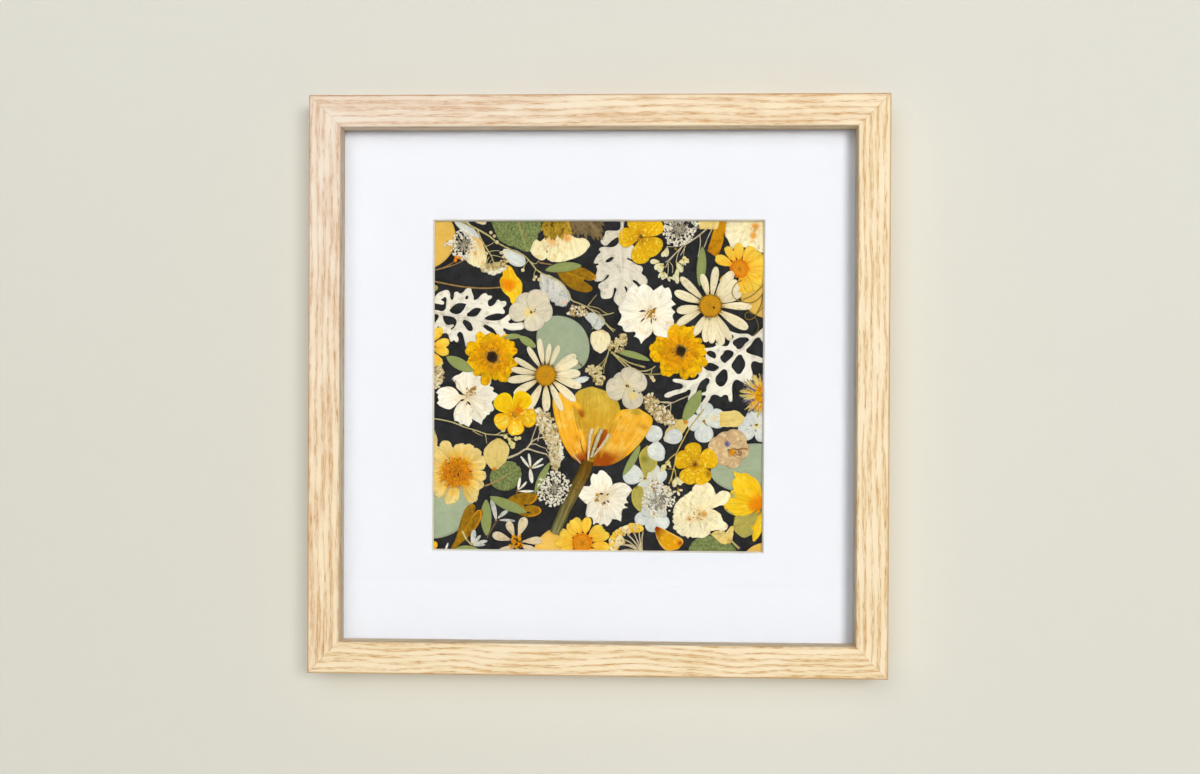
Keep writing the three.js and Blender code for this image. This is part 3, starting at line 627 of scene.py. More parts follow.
class FLOWERFRAME_OT_finish_frame(bpy.types.Operator):
    """Gives the rails, glass, mat, card, back board and fittings their finishes"""

    bl_idname = "flower_frame.finish_frame"
    bl_label = "Finish the frame"

    def execute(self, context):
        finish = context.scene.flower_frame
        pink, honey = "dbb793", "e9cf9b"
        give("rail_top", rail_paint("oak top", "x", 1, pink, 2.2))
        give("rail_right", rail_paint("oak right", "z", 2, honey, 3.2))
        give("rail_bottom", rail_paint("oak bottom", "x", 3, honey, 5.5))
        give("rail_left", rail_paint("oak left", "z", 4, pink, 3.0))
        give("glass", glass_paint()).visible_shadow = False
        give("mat", mat_paint())
        give("backing_card", sheet_paint("black card", finish.card, "3a3a3d", 2.2, 0.7))
        give("back_board", sheet_paint("hardboard", finish.board, "5f4226", 1.1, 0.8, roughness=0.75))
        level = steel_paint("level tab", (9000, 3000, 400))
        upright = steel_paint("upright tab", (400, 3000, 9000))
        nail = steel_paint("nail", (4000, 4000, 4000))
        rubber = sheet_paint("rubber", finish.rubber, "4a4a4a", 1.4, 0.5, roughness=0.85)
        for side in ("left", "right"):
            for end in ("top", "bottom"):
                give(f"tab_{end}_{side}", level)
            for end in ("upper", "lower"):
                give(f"tab_{side}_{end}", upright)
            give(f"hanger_nail_{side}", nail)
            give(f"bumper_{side}", rubber)
        give("sawtooth_hanger", steel_paint("hanger steel", (500, 6000, 6000)))
        return {"FINISHED"}


# ---- Flower tables ----
# A row of numbers is text, with commas inside it and spaces between rows. An x,z row with a star is a
# sharp corner. Places are in millimetres from the window's middle, and directions in degrees.


def numbers(value):
    """A table with its rows of numbers read."""
    if isinstance(value, str) and value[:1] and value[0] in "-0123456789":
        texts = [row.replace("*", ",1").split(",") for row in value.split()]
        return [tuple(float(n) if "." in n else int(n) for n in row) for row in texts]
    if isinstance(value, (list, tuple)):
        return [numbers(part) for part in value]
    return value


def records(table, first_seed):
    """The records of a table, each with the seed of its own dice."""
    return enumerate(numbers(table), start=first_seed)


# ---- Pressed specimens ----


def on_path(points, place):
    """The point a share of the way along a smooth line through some points."""
    span = place * (len(points) - 1)
    start = min(int(span), len(points) - 2)
    t = span - start
    p1, p2 = Vector(points[start]), Vector(points[start + 1])
    p0 = Vector(points[start - 1]) if start > 0 else 2 * p1 - p2
    p3 = Vector(points[start + 2]) if start + 2 < len(points) else 2 * p2 - p1
    bend = (2 * p0 - 5 * p1 + 4 * p2 - p3) * t * t + (3 * p1 - p0 - 3 * p2 + p3) * t**3
    return (2 * p1 + (p2 - p0) * t + bend) / 2


def around(x, z, out, angle, stretch=1.0):
    """The point at a distance and an angle from a middle."""
    return x + out * math.cos(angle), z + out * math.sin(angle) * stretch


class Pressing:
    """One pressed specimen. Places are in millimetres from the window's middle, seen from the front."""

    def __init__(self, layer, seed, step=SHEET_STEP, stains=()):
        self.mesh = bmesh.new()
        self.mesh.loops.layers.uv.new("UVMap")
        self.mesh.verts.layers.float.new("shade")
        self.mesh.verts.layers.float.new("stain")
        self._find_layers()
        self.depth = CARD_Y - CARD_GAP - layer * LAYER
        self.step = step
        self.stains = numbers(stains)
        self.dice = random.Random(seed)

    def _find_layers(self):
        """The mesh's own data layers, which move when another mesh is added to it."""
        self.uv = self.mesh.loops.layers.uv["UVMap"]
        self.shade = self.mesh.verts.layers.float["shade"]
        self.stain = self.mesh.verts.layers.float["stain"]

    def _settle(self, verts, place, coat, shade, merge=False):
        """Puts the flat verts where they go, and gives them their UV, shade and finish."""
        self.depth -= self.step
        if shade is None:
            shade = self.dice.random()
        spots = {}
        for vert in verts:
            u, v = vert.co.x, vert.co.y
            x, z, relief = place(u, v)
            spots[vert] = (u / 2 + 0.5, v)
            vert[self.shade] = shade
            vert[self.stain] = sum(
                amount * max(0.0, 1 - math.hypot(x - sx, z - sz) / radius)
                for sx, sz, radius, amount in self.stains
            )
            vert.co = (WINDOW_X + x * MM, self.depth - relief * MM, WINDOW_Z + z * MM)
        for face in {face for vert in verts for face in vert.link_faces}:
            face.material_index = coat
            face.smooth = True
            for loop in face.loops:
                loop[self.uv].uv = spots[loop.vert]
        if merge:
            bmesh.ops.remove_doubles(self.mesh, verts=verts, dist=0.001 * MM)

    def _grid(self, columns, rows):
        """A flat grid: x from -1 to 1 across, y from 0 to 1 along, closer at both ends."""
        made = bmesh.ops.create_grid(self.mesh, x_segments=columns, y_segments=rows, size=1.0)
        for vert in made["verts"]:
            vert.co.y = (1 - math.cos(math.pi * (vert.co.y + 1) / 2)) / 2
        return made["verts"]

    def _jolt(self):
        """A random step of up to a half each way."""
        return self.dice.random() - 0.5, self.dice.random() - 0.5

    def blade(
        self, x, z, turn, length, width, belly=0.6, blunt=0.5, foot=0.12, bend=0.0, tooth=0.0,
        wave=0.0, notch=0.0, columns=6, rows=12, coat=0,
    ):
        """A petal or leaf from its foot, widest at belly, bent sideways by an angle in degrees."""
        direction = math.radians(turn)
        curve = math.radians(bend)
        power = math.log(0.5) / math.log(belly)
        dice = self.dice
        phase = dice.random() * 100

        def place(u, v):
            half = width / 2 * max(math.sin(math.pi * min(v**power, 1.0)) ** blunt, foot * (1 - v), 0.03)
            if abs(curve) > 1e-3:
                radius = length / curve
                along = radius * math.sin(curve * v)
                aside = radius * (1 - math.cos(curve * v))
            else:
                along, aside = length * v, 0.0
            angle = curve * v
            rim = abs(u) > 0.99 or v > 0.99
            jag = (dice.random() - 0.5) * 2 * tooth if rim and v > 0.25 else 0.0
            out = u * half + (math.copysign(jag, u) if abs(u) > 0.5 else 0.0)
            along += -notch * max(0.0, 1 - abs(u) * 1.6) * v**6 + (jag if v > 0.8 else 0.0)
            local_x = along - out * math.sin(angle)
            local_y = aside + out * math.cos(angle)
            px = x + local_x * math.cos(direction) - local_y * math.sin(direction)
            pz = z + local_x * math.sin(direction) + local_y * math.cos(direction)
            return px, pz, wave * noise.noise(Vector((u * 1.5, v * 3.0, phase)))

        self._settle(self._grid(columns, rows), place, coat, None)

    def loft(self, left, right, tooth=0.0, wave=0.05, columns=8, rows=14, coat=0, shade=None):
        """A sheet between two given edges, both from the foot to the tip."""
        left, right = numbers(left), numbers(right)
        phase = self.dice.random() * 100

        def place(u, v):
            spot = on_path(left, v).lerp(on_path(right, v), u / 2 + 0.5)
            if tooth and v > 0.15 and (abs(u) > 0.99 or v > 0.99):
                spot += Vector(self._jolt()) * 2 * tooth
            return spot.x, spot.y, wave * noise.noise(Vector((u * 1.5, v * 3.0, phase)))

        self._settle(self._grid(columns, rows), place, coat, shade)

    def _fill(self, rings, tooth):
        """Adds the flat sheet between an outline and its holes, cut into small cells."""
        curve = bpy.data.curves.new("outline", "CURVE")
        curve.dimensions = "2D"
        curve.fill_mode = "FRONT"
        curve.resolution_u = OUTLINE_STEPS
        for ring in rings:
            spline = curve.splines.new("BEZIER")
            spline.bezier_points.add(len(ring) - 1)
            for point, (x, z, *corner) in zip(spline.bezier_points, ring):
                point.co = (x, z, 0.0)
                point.handle_left_type = point.handle_right_type = "VECTOR" if corner else "AUTO"
            spline.use_cyclic_u = True
        drawn = bpy.data.objects.new("outline", curve)
        sheet = bmesh.new()
        sheet.from_mesh(drawn.to_mesh())
        bpy.data.objects.remove(drawn)
        bpy.data.curves.remove(curve)
        for vert in sheet.verts:
            vert.co += Vector((*self._jolt(), 0.0)) * 2 * tooth
        for axis in (0, 1):
            low, high = min(p[axis] for p in rings[0]), max(p[axis] for p in rings[0])
            for i in range(1, int((high - low) / SHEET_CELL)):
                spot, side = Vector((0.0, 0.0, 0.0)), Vector((0.0, 0.0, 0.0))
                spot[axis], side[axis] = low + i * SHEET_CELL, 1.0
                parts = sheet.verts[:] + sheet.edges[:] + sheet.faces[:]
                bmesh.ops.bisect_plane(sheet, geom=parts, dist=0.001, plane_co=spot, plane_no=side)
        flat = bpy.data.meshes.new("sheet")
        sheet.to_mesh(flat)
        sheet.free()
        start = len(self.mesh.verts)
        self.mesh.from_mesh(flat)
        bpy.data.meshes.remove(flat)
        self._find_layers()
        self.mesh.verts.ensure_lookup_table()
        return self.mesh.verts[start:]

    def cutout(self, outline, foot, tip=None, span=110, fan=True, holes=(), tooth=0.0, wave=0.05, coat=0):
        """A sheet inside a smooth outline, less its holes. A point with a third value is a corner.
        Its streaks run from the foot: a fan is span degrees wide, and a band is span millimetres wide."""
        outline = numbers(outline)
        verts = self._fill([outline, *holes], tooth)
        tip = tip or max(outline, key=lambda p: math.dist(p[:2], foot))[:2]
        length = math.dist(foot, tip)
        ahead = (Vector(tip) - Vector(foot)).normalized()
        half = math.radians(span) / 2 if fan else span / 2
        phase = self.dice.random() * 100
        for vert in verts:
            out = vert.co.xy - Vector(foot)
            along, aside = out.dot(ahead), ahead.cross(out)
            if fan:
                vert.co = (math.atan2(aside, along) / half, out.length / length, 0.0)
            else:
                vert.co = (aside / half, along / length, 0.0)

        def place(u, v):
            if fan:
                along, aside = length * v * math.cos(u * half), length * v * math.sin(u * half)
            else:
                along, aside = length * v, u * half
            x = foot[0] + ahead.x * along - ahead.y * aside
            z = foot[1] + ahead.y * along + ahead.x * aside
            return x, z, wave * noise.noise(Vector((x * 0.25, z * 0.25, phase)))

        self._settle(verts, place, coat, None)

    def heart(self, x, z, radius, rise, coat=1, rings=8, columns=24):
        """A low round cushion."""

        def place(u, v):
            angle = u * math.pi
            rough = 1 + 0.03 * math.sin(9 * angle) * v
            return *around(x, z, radius * v * rough, angle), rise * (1 - v**3)

        self._settle(self._grid(columns, rings), place, coat, 0.5, merge=True)

    def stem(self, points, width, end_width, coat=0, rows=None):
        """A thin rounded stalk along a smooth line."""
        points = numbers(points)

        def place(u, v):
            spot = on_path(points, v)
            ahead = on_path(points, min(v + 0.01, 1.0)) - on_path(points, max(v - 0.01, 0.0))
            ahead.normalize()
            half = (width + (end_width - width) * v) / 2
            return spot.x - ahead.y * u * half, spot.y + ahead.x * u * half, half * 0.7 * (1 - u * u)

        self._settle(self._grid(2, rows or 6 * (len(points) - 1)), place, coat, None)

    def floret(self, x, z, radius, tips=5, waist=0.5, coat=0):
        """A tiny star of a flower."""
        circle = dict(cap_ends=True, cap_tris=True, segments=2 * tips, radius=1.0)
        verts = bmesh.ops.create_circle(self.mesh, **circle)["verts"]
        turn = self.dice.random() * math.tau
        stretch = 0.75 + 0.5 * self.dice.random()
        for vert in verts:
            angle = math.atan2(vert.co.y, vert.co.x)
            out = 1.0 if vert.co.length > 0.5 else 0.0
            reach = 1.0 if round(angle * tips / math.pi) % 2 == 0 else waist
            vert.co = (angle / math.pi, out * reach, 0.0)

        def place(u, v):
            return *around(x, z, radius * v, u * math.pi + turn, stretch), 0.08 * (1 - v)

        self._settle(verts, place, coat, None)

    def make(self, name, paints, slot, node=None):
        """Turns the gathered sheets into one piece with a real thickness."""
        self.mesh.normal_update()
        backwards = [face for face in self.mesh.faces if face.normal.y > 0]
        bmesh.ops.reverse_faces(self.mesh, faces=backwards)
        data = bpy.data.meshes.new(name)
        self.mesh.to_mesh(data)
        self.mesh.free()
        for coat in finishes(*paints):
            data.materials.append(coat)
        piece = bpy.data.objects.new(name.replace(" ", "_"), data)
        bpy.context.scene.collection.objects.link(piece)
        wall = piece.modifiers.new("thickness", "SOLIDIFY")
        wall.thickness = bpy.context.scene.flower_petals.thickness
        wall.offset = 0.0
        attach(piece, "root")
        if node:
            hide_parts(node)


def rays(pressing, x, z, petals, start, **shape):
    """Petals round a heart. Each petal is (direction, length, width)."""
    for direction, length, width in numbers(petals):
        foot = around(x, z, start, math.radians(direction))
        pressing.blade(*foot, direction, length - start, width, **shape)


def even_rays(count, length, width, turn, dice, jitter):
    """A ring of like petals, each a little different."""
    ring = []
    for i in range(count):
        change = (dice.random() - 0.5) * 2 * jitter
        direction = turn + 360 * (i + change * 0.5) / count
        ring.append((direction, length * (1 + change * 0.12), width * (1 + change * 0.2)))
    return ring


def specks(pressing, x, z, count, near, far, size, coat):
    """Small dots scattered in a ring."""
    for _ in range(count):
        angle = math.radians(pressing.dice.uniform(0, 360))
        spot = around(x, z, pressing.dice.uniform(near, far), angle)
        pressing.floret(*spot, size * pressing.dice.uniform(0.6, 1.2), 4, 0.8, coat)


def tuft(pressing, x, z, count, near, far, size, waist, coat):
    """Small four-tipped stars of one size in a ring."""
    for _ in range(count):
        angle = pressing.dice.uniform(0, math.tau)
        spot = around(x, z, pressing.dice.uniform(near, far), angle)
        pressing.floret(*spot, size, 4, waist, coat)


def fan_of_blades(pressing, foot, tips, width, coat=0):
    """Pointed blades from one foot, each to its own tip."""
    for x, z in numbers(tips):
        turn = math.degrees(math.atan2(z - foot[1], x - foot[0]))
        length = math.dist(foot, (x, z))
        pressing.blade(*foot, turn, length, width, belly=0.6, blunt=0.7, foot=0.3, wave=0.08, coat=coat)


# ---- Daisies ----

# name, node, layer, seed, middle, disc, dark strokes round it (hairs, partly painted shadow at the heart's
# rim), petals (direction, length, width)
DAISIES = [
    (
        "white daisy on the left", "daisy_left", 2, 3, -30, 6, 6.2, 30,
        "103,21.6,3.6 85,18.4,3 65,18.8,3.4 36,21,5 24,20.5,4.6 3,20,5.4 -16,21.6,5 -39,22.7,5 "
        "-65,22.6,3.8 -89,20.8,4.8 -116,22.8,5 -150,21.5,4.6 -171,22.3,4.6 170,20.3,3.8 154,20.6,3.4 "
        "124,19.4,3.4 -62,15,3",
    ),
    (
        "white daisy on the right", "daisy_right", 3, 5, 64.3, 46, 6.6, 44,
        "82,22.7,4.6 103,19,4.2 138,23.8,4.6 160,22.1,5.2 -171,19.5,5.2 -153,22,4.6 -117,19,4.6 -100,21,5 "
        "-88,21.5,5 -75,23.5,6 -59,23,4.6 -31,25,6 1,23.7,4.6 21,19,5 33,20,5 43,21,5.5 58,23.5,6",
    ),
]
# name, node, layer, middle, disc, whether it is dotted, petals
ORANGE_DAISIES = [
    (
        "orange daisy on the right", "orange_daisy_right", 1, 80.8, 67.5, 5.2, False,
        "155,15.2,5.8 122,14.5,4.8 93,14.6,5.4 58,14.8,6.4 30,15.5,6.4 5,15.5,6.4 -20,15.5,6.4 -48,16,6.4 "
        "-80,15,6 -142,13.5,5 44,14.5,5 18,15,5 -34,15,5 -64,15,5",
    ),
    (
        "orange daisy at the bottom", "orange_daisy_bottom", 2, -8.5, -90.3, 5.6, True,
        "126,13.8,5.6 105,15.2,5.4 78,15.2,5.4 42,14.8,5.4 18,16.4,5.2 -10,16,5.6 -40,15,5.4 -70,15,5.4 "
        "-100,15,5.4 -130,15,5.4 157,14.2,5.4 180,16,5.6 205,15,5.4 115,14.6,4.5 30,15,4",
    ),
    (
        "orange daisy on the left edge", None, 1, -99, 22, 4.6, True,
        "52,14.2,5 14,13.4,5.4 -14,13.2,5.2 -52,13.5,5 100,12,5 150,12,5 -100,12,5 -150,12,5 180,12,5",
    ),
]
STAR_PETALS = "114,12.6,4.4 71,15,5.4 4,15,4.6 -30,12,4.8 163,14.6,5 217,13,5 -80,12,4.8 -125,12,4.8"


def daisy(layer, seed, x, z, petals, disc, fringe):
    """Long white rays round a golden cushion with a dark fringe, partly hairs and partly painted shadow at
    the cushion's rim.
    """
    pressing = Pressing(layer, seed)
    order = list(range(len(petals)))
    pressing.dice.shuffle(order)
    for i in order:
        direction, length, width = petals[i]
        foot = around(x, z, 0.75 * disc, math.radians(direction))
        pressing.blade(
            *foot, direction, length - 0.75 * disc, width, belly=0.66, blunt=0.42, foot=0.42,
            bend=pressing.dice.uniform(-7, 7), notch=0.5, wave=0.05,
        )
    # Dark strokes round the heart: partly its hairs, partly painted shadow at the heart's rim.
    for i in range(fringe):
        angle = math.tau * (i + pressing.dice.uniform(-0.3, 0.3)) / fringe
        reach = disc * pressing.dice.uniform(1.06, 1.26)
        start = around(x, z, 0.85 * disc, angle)
        end = around(x, z, reach, angle)
        pressing.stem([start, end], 0.42, 0.16, coat=2, rows=2)
    pressing.heart(x, z, disc, 0.16, coat=1)
    specks(pressing, x, z, 40, 0.0, disc * 0.9, 0.28, 3)
    return pressing


class FLOWERFRAME_OT_add_daisies(bpy.types.Operator):
    """Adds the white, orange, cream and tan daisies"""

    bl_idname = "flower_frame.add_daisies"
    bl_label = "Daisies"

    def execute(self, context):
        for name, node, layer, seed, x, z, disc, fringe, petals in numbers(DAISIES):
            pressing = daisy(layer, seed, x, z, petals, disc, fringe)
            if node == "daisy_right":
                pressing.floret(66.3, 45, 0.7, 4, 0.8, coat=4)
            paints = ("daisy petal", "daisy heart", "dark fringe", "gold floret", "brown speck")
            pressing.make(name, paints, "white_petal", node)
        self.add_orange_daisies()
        self.add_cream_daisy()
        self.add_star_flower()
        return {"FINISHED"}

    def add_orange_daisies(self):
        """The orange daisies, with a fringed heart."""
        for seed, (name, node, layer, x, z, disc, dotted, petals) in records(ORANGE_DAISIES, 11):
            pressing = Pressing(layer, seed)
            shape = dict(belly=0.66, blunt=0.45, foot=0.4, notch=0.9, tooth=0.25, wave=0.05)
            rays(pressing, x, z, petals, disc * 0.7, **shape)
            if dotted:
                for direction in range(-150, 151, 30):
                    angle = math.radians(direction + pressing.dice.uniform(-6, 6))
                    spot = around(x, z, disc * 1.08, angle)
                    pressing.floret(*spot, 0.55, 5, 0.9, coat=3)
            pressing.heart(x, z, disc, 0.12, coat=1)
            tuft(pressing, x, z, 60, 0.72 * disc, 1.02 * disc, 0.62, 0.5, 2)
            paints = ("orange petal", "orange heart", "orange fringe", "dark mark")
            pressing.make(name, paints, "orange_petal", node)

    def add_cream_daisy(self):
        """The cream daisy with two rings of rays and a wide golden middle."""
        x, z = -81.5, -50.5
        pressing = Pressing(1, 21, step=SHEET_STEP / 2)
        for ring, (count, length, width) in enumerate(((17, 18.6, 6.0), (15, 16.4, 5.2))):
            petals = even_rays(count, length, width, ring * 11, pressing.dice, 1.0)
            shape = dict(belly=0.72, blunt=0.4, foot=0.5, notch=0.9, tooth=0.35, wave=0.05, rows=10)
            rays(pressing, x, z, petals, 5, **shape)
        pressing.heart(x, z, 7.6, 0.16, coat=1)
        for _ in range(150):
            direction = pressing.dice.uniform(0, 360)
            foot = around(x, z, 10.4 * pressing.dice.uniform(0.35, 0.82), math.radians(direction))
            turn = direction + pressing.dice.uniform(-35, 35)
            length = pressing.dice.uniform(1.6, 3.0)
            pressing.blade(
                *foot, turn, length, pressing.dice.uniform(0.5, 1.0), belly=0.6, blunt=0.5,
                columns=2, rows=3, coat=pressing.dice.choice((2, 2, 2, 4)),
            )
        specks(pressing, x, z, 110, 0.0, 9.6, 0.5, 2)
        specks(pressing, x, z, 70, 1.0, 9.6, 0.34, 3)
        specks(pressing, x, z, 60, 0.0, 6.5, 0.4, 4)
        paints = ("cream ray", "orange heart", "gold floret", "brown speck", "orange fringe")
        pressing.make("cream daisy", paints, "cream_petal", "cream_daisy")

    def add_star_flower(self):
        """The tan flower with few narrow petals."""
        x, z = -46.5, -90
        pressing = Pressing(1, 23)
        rays(pressing, x, z, STAR_PETALS, 3, belly=0.7, blunt=0.5, foot=0.25, notch=1.3, wave=0.05)
        pressing.heart(x, z, 3.0, 0.12, coat=1)
        specks(pressing, x, z, 60, 0.5, 4.2, 0.75, 2)
        specks(pressing, x, z, 22, 0.5, 4.0, 0.6, 3)
        paints = ("tan ray", "orange heart", "gold floret", "brown speck")
        pressing.make("star flower", paints, "tan_petal", "star_flower")


# ---- Chrysanthemums ----

# name, node, layer, middle, reach, dark heart and its radius
CHRYSANTHEMUMS = [
    ("chrysanthemum on the left", "chrysanthemum_left", 1, -61.3, 16.6, 15.2, -61, 16.3, 3.1),
    ("chrysanthemum on the right", "chrysanthemum_right", 2, 46.7, 19.8, 15.6, 47.6, 20.2, 2.7),
]
# for each ring of petals: how many, share of the reach, width, finish
CHRYSANTHEMUM_RINGS = (
    "22,1,5,0 22,0.93,4.2,0 24,0.81,3.4,0 26,0.68,2.6,1 26,0.56,2,1 24,0.45,1.6,1 20,0.36,1.3,1"
)
CHRYSANTHEMUM_PAINTS = (
    "chrysanthemum petal", "chrysanthemum inner petal", "chrysanthemum heart", "olive tuft", "brown speck",
)


class FLOWERFRAME_OT_add_chrysanthemums(bpy.types.Operator):
    """Adds the two golden double chrysanthemums"""

    bl_idname = "flower_frame.add_chrysanthemums"
    bl_label = "Chrysanthemums"

    def execute(self, context):
        shape = dict(belly=0.74, blunt=0.42, foot=0.35, notch=0.5, wave=0.05, columns=4, rows=7)
        for seed, (name, node, layer, x, z, reach, dark_x, dark_z, dark) in records(CHRYSANTHEMUMS, 31):
            pressing = Pressing(layer, seed, step=CROWDED_STEP)
            for ring, (count, share, width, coat) in enumerate(numbers(CHRYSANTHEMUM_RINGS)):
                petals = even_rays(count, reach * share, width, ring * 8.5, pressing.dice, 1.2)
                rays(pressing, x, z, petals, 1.5, coat=coat, **shape)
            tuft(pressing, dark_x, dark_z, 46, 0.95 * dark, 1.75 * dark, 0.55, 0.4, 3)
            pressing.heart(dark_x, dark_z, dark, 0.1, coat=2)
            specks(pressing, dark_x, dark_z, 30, 0.6 * dark, 1.15 * dark, 0.45, 4)
            pressing.make(name, CHRYSANTHEMUM_PAINTS, "gold_petal", node)
        return {"FINISHED"}


# ---- Larkspurs ----

# name, node, layer, middle, petal outlines, stamen patches (x, z, count, radius), dark slits
LARKSPURS = [
    (
        "larkspur on the left", "larkspur_left", 0, (-76, -6.5),
        [
            "-76,-5.6 -79.6,-3.2 -81.6,-1.3 -82.3,1.4 -84.5,3.4* -82.9,5.2 -79.6,6.6 -77.6,8.2 -75.2,8.6 "
            "-74.4,9.8* -73.5,8.4 -72.6,7.6* -71.7,9.5* -70.2,7.2 -69.2,4 -71,-2",
            "-76,-6 -72,1 -69.6,5.2 -67.6,5.4 -64.1,3.2 -61.7,4* -61.8,1.4 -62.4,-0.4 -61,-0.8 -59.8,-1.9* "
            "-60.6,-3.2 -59,-4.2 -57.5,-5.6* -59,-7.6 -61.3,-10 -60.4,-11.6 -59.8,-13.2* -60.6,-14.6 "
            "-62,-15* -62.6,-16.6 -64,-17* -65,-18.6 -66.4,-20.2 -67,-22.6* -69.4,-21.1 -71.7,-19.8 "
            "-73.6,-18.4* -75,-12",
            "-76,-7 -73,-13 -72.8,-19 -72.6,-20.8 -74.6,-23.8* -76,-23.2 -77.4,-22.3* -79.6,-22.8* "
            "-80.4,-21 -82.8,-20.4* -83.3,-16.6 -82.3,-13.2 -79.8,-9.8",
            "-76,-6.6 -80,-5.2 -81.2,-3.4 -83.2,-1.6 -85.8,-0.7 -88.8,-1 -91.7,-2.2 -93.6,-4.3* -92.2,-5.6 "
            "-92.7,-6.9* -92,-8.6 -93,-10.2* -92,-11.3 -88.8,-13.1 -85.2,-13.7 -82.9,-12.2 -79.6,-9",
        ],
        "-73,-3.4,16,3 -71,-1.4,7,1.2",
        "-79.6,-9,2.6,20,1.2 -75.4,-9,3.2,-50,1.1 -76,-2.6,1.6,60,0.6 -82.6,3,1.4,-60,0.5 "
        "-84.4,3.9,1.8,-40,0.5 -75.4,-9.4,2.2,-100,0.6",
    ),
    (
        "larkspur in the middle", "larkspur_middle", 3, (29.5, 41.6),
        [
            "29.5,42 24,50 23.4,55.6* 21.6,57.2 19.8,57.7* 17.2,55.5 15.2,51 14,48.4 12.4,46 11.5,44.5* "
            "12.8,42.6 20,41",
            "29.5,42 22,46 20,50 21.8,54.4 24,57.4 26,58.7* 27.8,58.1 30.1,56.4 31.9,54.2* 32.6,50",
            "29.5,42 30.6,50 31.6,54.4 34.2,56.4 36.6,58* 38.1,56.1 40.2,56.5 41.6,54.3 41.8,49.6 38,46",
            "29.5,42 36,49 41.6,49.7 43.2,48.2 44.7,46.8* 42.6,45.9 42,45.2 42.8,43.9 44.3,42.5* 43,41 "
            "42.7,39.6 43.5,37.4 43.2,35* 40.7,34.2 36,36",
            "29.5,42 38,37 40.8,34.4 39.9,31 40.1,27.7* 36.6,28.4 32.8,29.3 31.3,31.6* 28,36",
            "29.5,42 31.4,35 31.2,31.4 29.5,28.7 27.6,27.4 26.3,26.2 24.8,24.1* 23.6,26.7 22.4,27.8 "
            "20.5,28.4* 21.5,29.9 21,31.6 24,36",
            "29.5,42 25,34 21.2,31.2* 17.8,31 14.8,31.6 13.9,34 11.1,35.2* 12.8,38.1 13.4,40.5 12,43.4 "
            "14,46 22,45.6",
        ],
        "30,41,20,3 31.4,43,8,1.4 33.4,38.2,2,0.7",
        "21.8,43.2,5.8,-2,1.3 27,39.4,4,226,0.9 30.4,39,3.6,-88,0.8 31.2,43.8,2.8,26,0.7",
    ),
    (
        "larkspur at the bottom", "larkspur_bottom", 0, (3.4, -63.4),
        [
            "3.4,-63 -8,-57.8 -9.4,-59 -9.9,-60.2 -11.6,-62.9* -8.1,-66.4 -5.8,-68 -1,-67",
            "3.4,-63 -2,-60 -6.9,-58.4* -3.9,-57 -4,-53.4 -2.7,-50.2* -0.2,-50.7 1.6,-48.5 3.4,-48.9 "
            "6.1,-51.2 8.1,-54 8.5,-57 6,-60",
            "3.4,-63 8,-57.2 11.1,-55.8 15,-55.7 18.3,-57.6 20.1,-59.6* 18.3,-62.3 16.6,-65 17.9,-67.1* "
            "15.4,-68 17.7,-69.8* 14.4,-71 14,-75.1 13.6,-77.8* 11.4,-76.7 8.7,-76.2 6,-70",
            "3.4,-63 8,-70 8.6,-76.6 7.4,-78.8 5.6,-80.8* 3.6,-79.3 1.7,-81* 0.2,-78.7 -2.3,-79.9* "
            "-3.1,-75.9 -6.4,-75 -6.2,-70.7 -5.4,-67.2",
        ],
        "0.4,-62.4,7,1.2 -0.4,-65.6,8,1.3 3.4,-67.4,4,1",
        "1.2,-61.8,2.4,-8,1.1 5.2,-63,1.8,40,0.9 3.6,-66.2,2.2,-60,0.9 5.2,-65.6,2.4,-40,0.8",
    ),
]


class FLOWERFRAME_OT_add_larkspurs(bpy.types.Operator):
    """Adds the three white larkspurs with toothed petals"""

    bl_idname = "flower_frame.add_larkspurs"
    bl_label = "Larkspurs"

    def execute(self, context):
        for seed, (name, node, layer, middle, petals, stamens, slits) in records(LARKSPURS, 41):
            x, z = middle
            pressing = Pressing(layer, seed, stains=[(x, z, 5, 0.5)])
            for outline in petals:
                pressing.cutout(outline, middle, span=120, tooth=0.1)
            for slit_x, slit_z, length, turn, width in slits:
                pressing.blade(slit_x, slit_z, turn, length, width, belly=0.5, blunt=0.8, foot=0.1, coat=2)
            for spot_x, spot_z, count, far in stamens:
                specks(pressing, spot_x, spot_z, 2 * count, 0.0, far, 0.46, 1)
            paints = ("larkspur petal", "stamen", "dark mark")
            pressing.make(name, paints, "white_petal", node)
        return {"FINISHED"}


# ---- Buttercups ----

# name, node, layer, middle, petals, stains (x, z, radius, strength)
BUTTERCUPS = [
    (
        "buttercup at the top", "buttercup_top", 1, 24.5, 85.5,
        "182,13,11.5 108,12.5,11 42,14.4,12.5 -92,15.4,11 -40,13.6,12.5", "30,84,6,0.4",
    ),
    (
        "buttercup on the right", "buttercup_right", 2, 55.8, -44.8,
        "97,12.6,9.8 160,11.6,11 242,12,10.5 302,12.5,11 22,13.4,12", "64,-50,5,0.7",
    ),
]


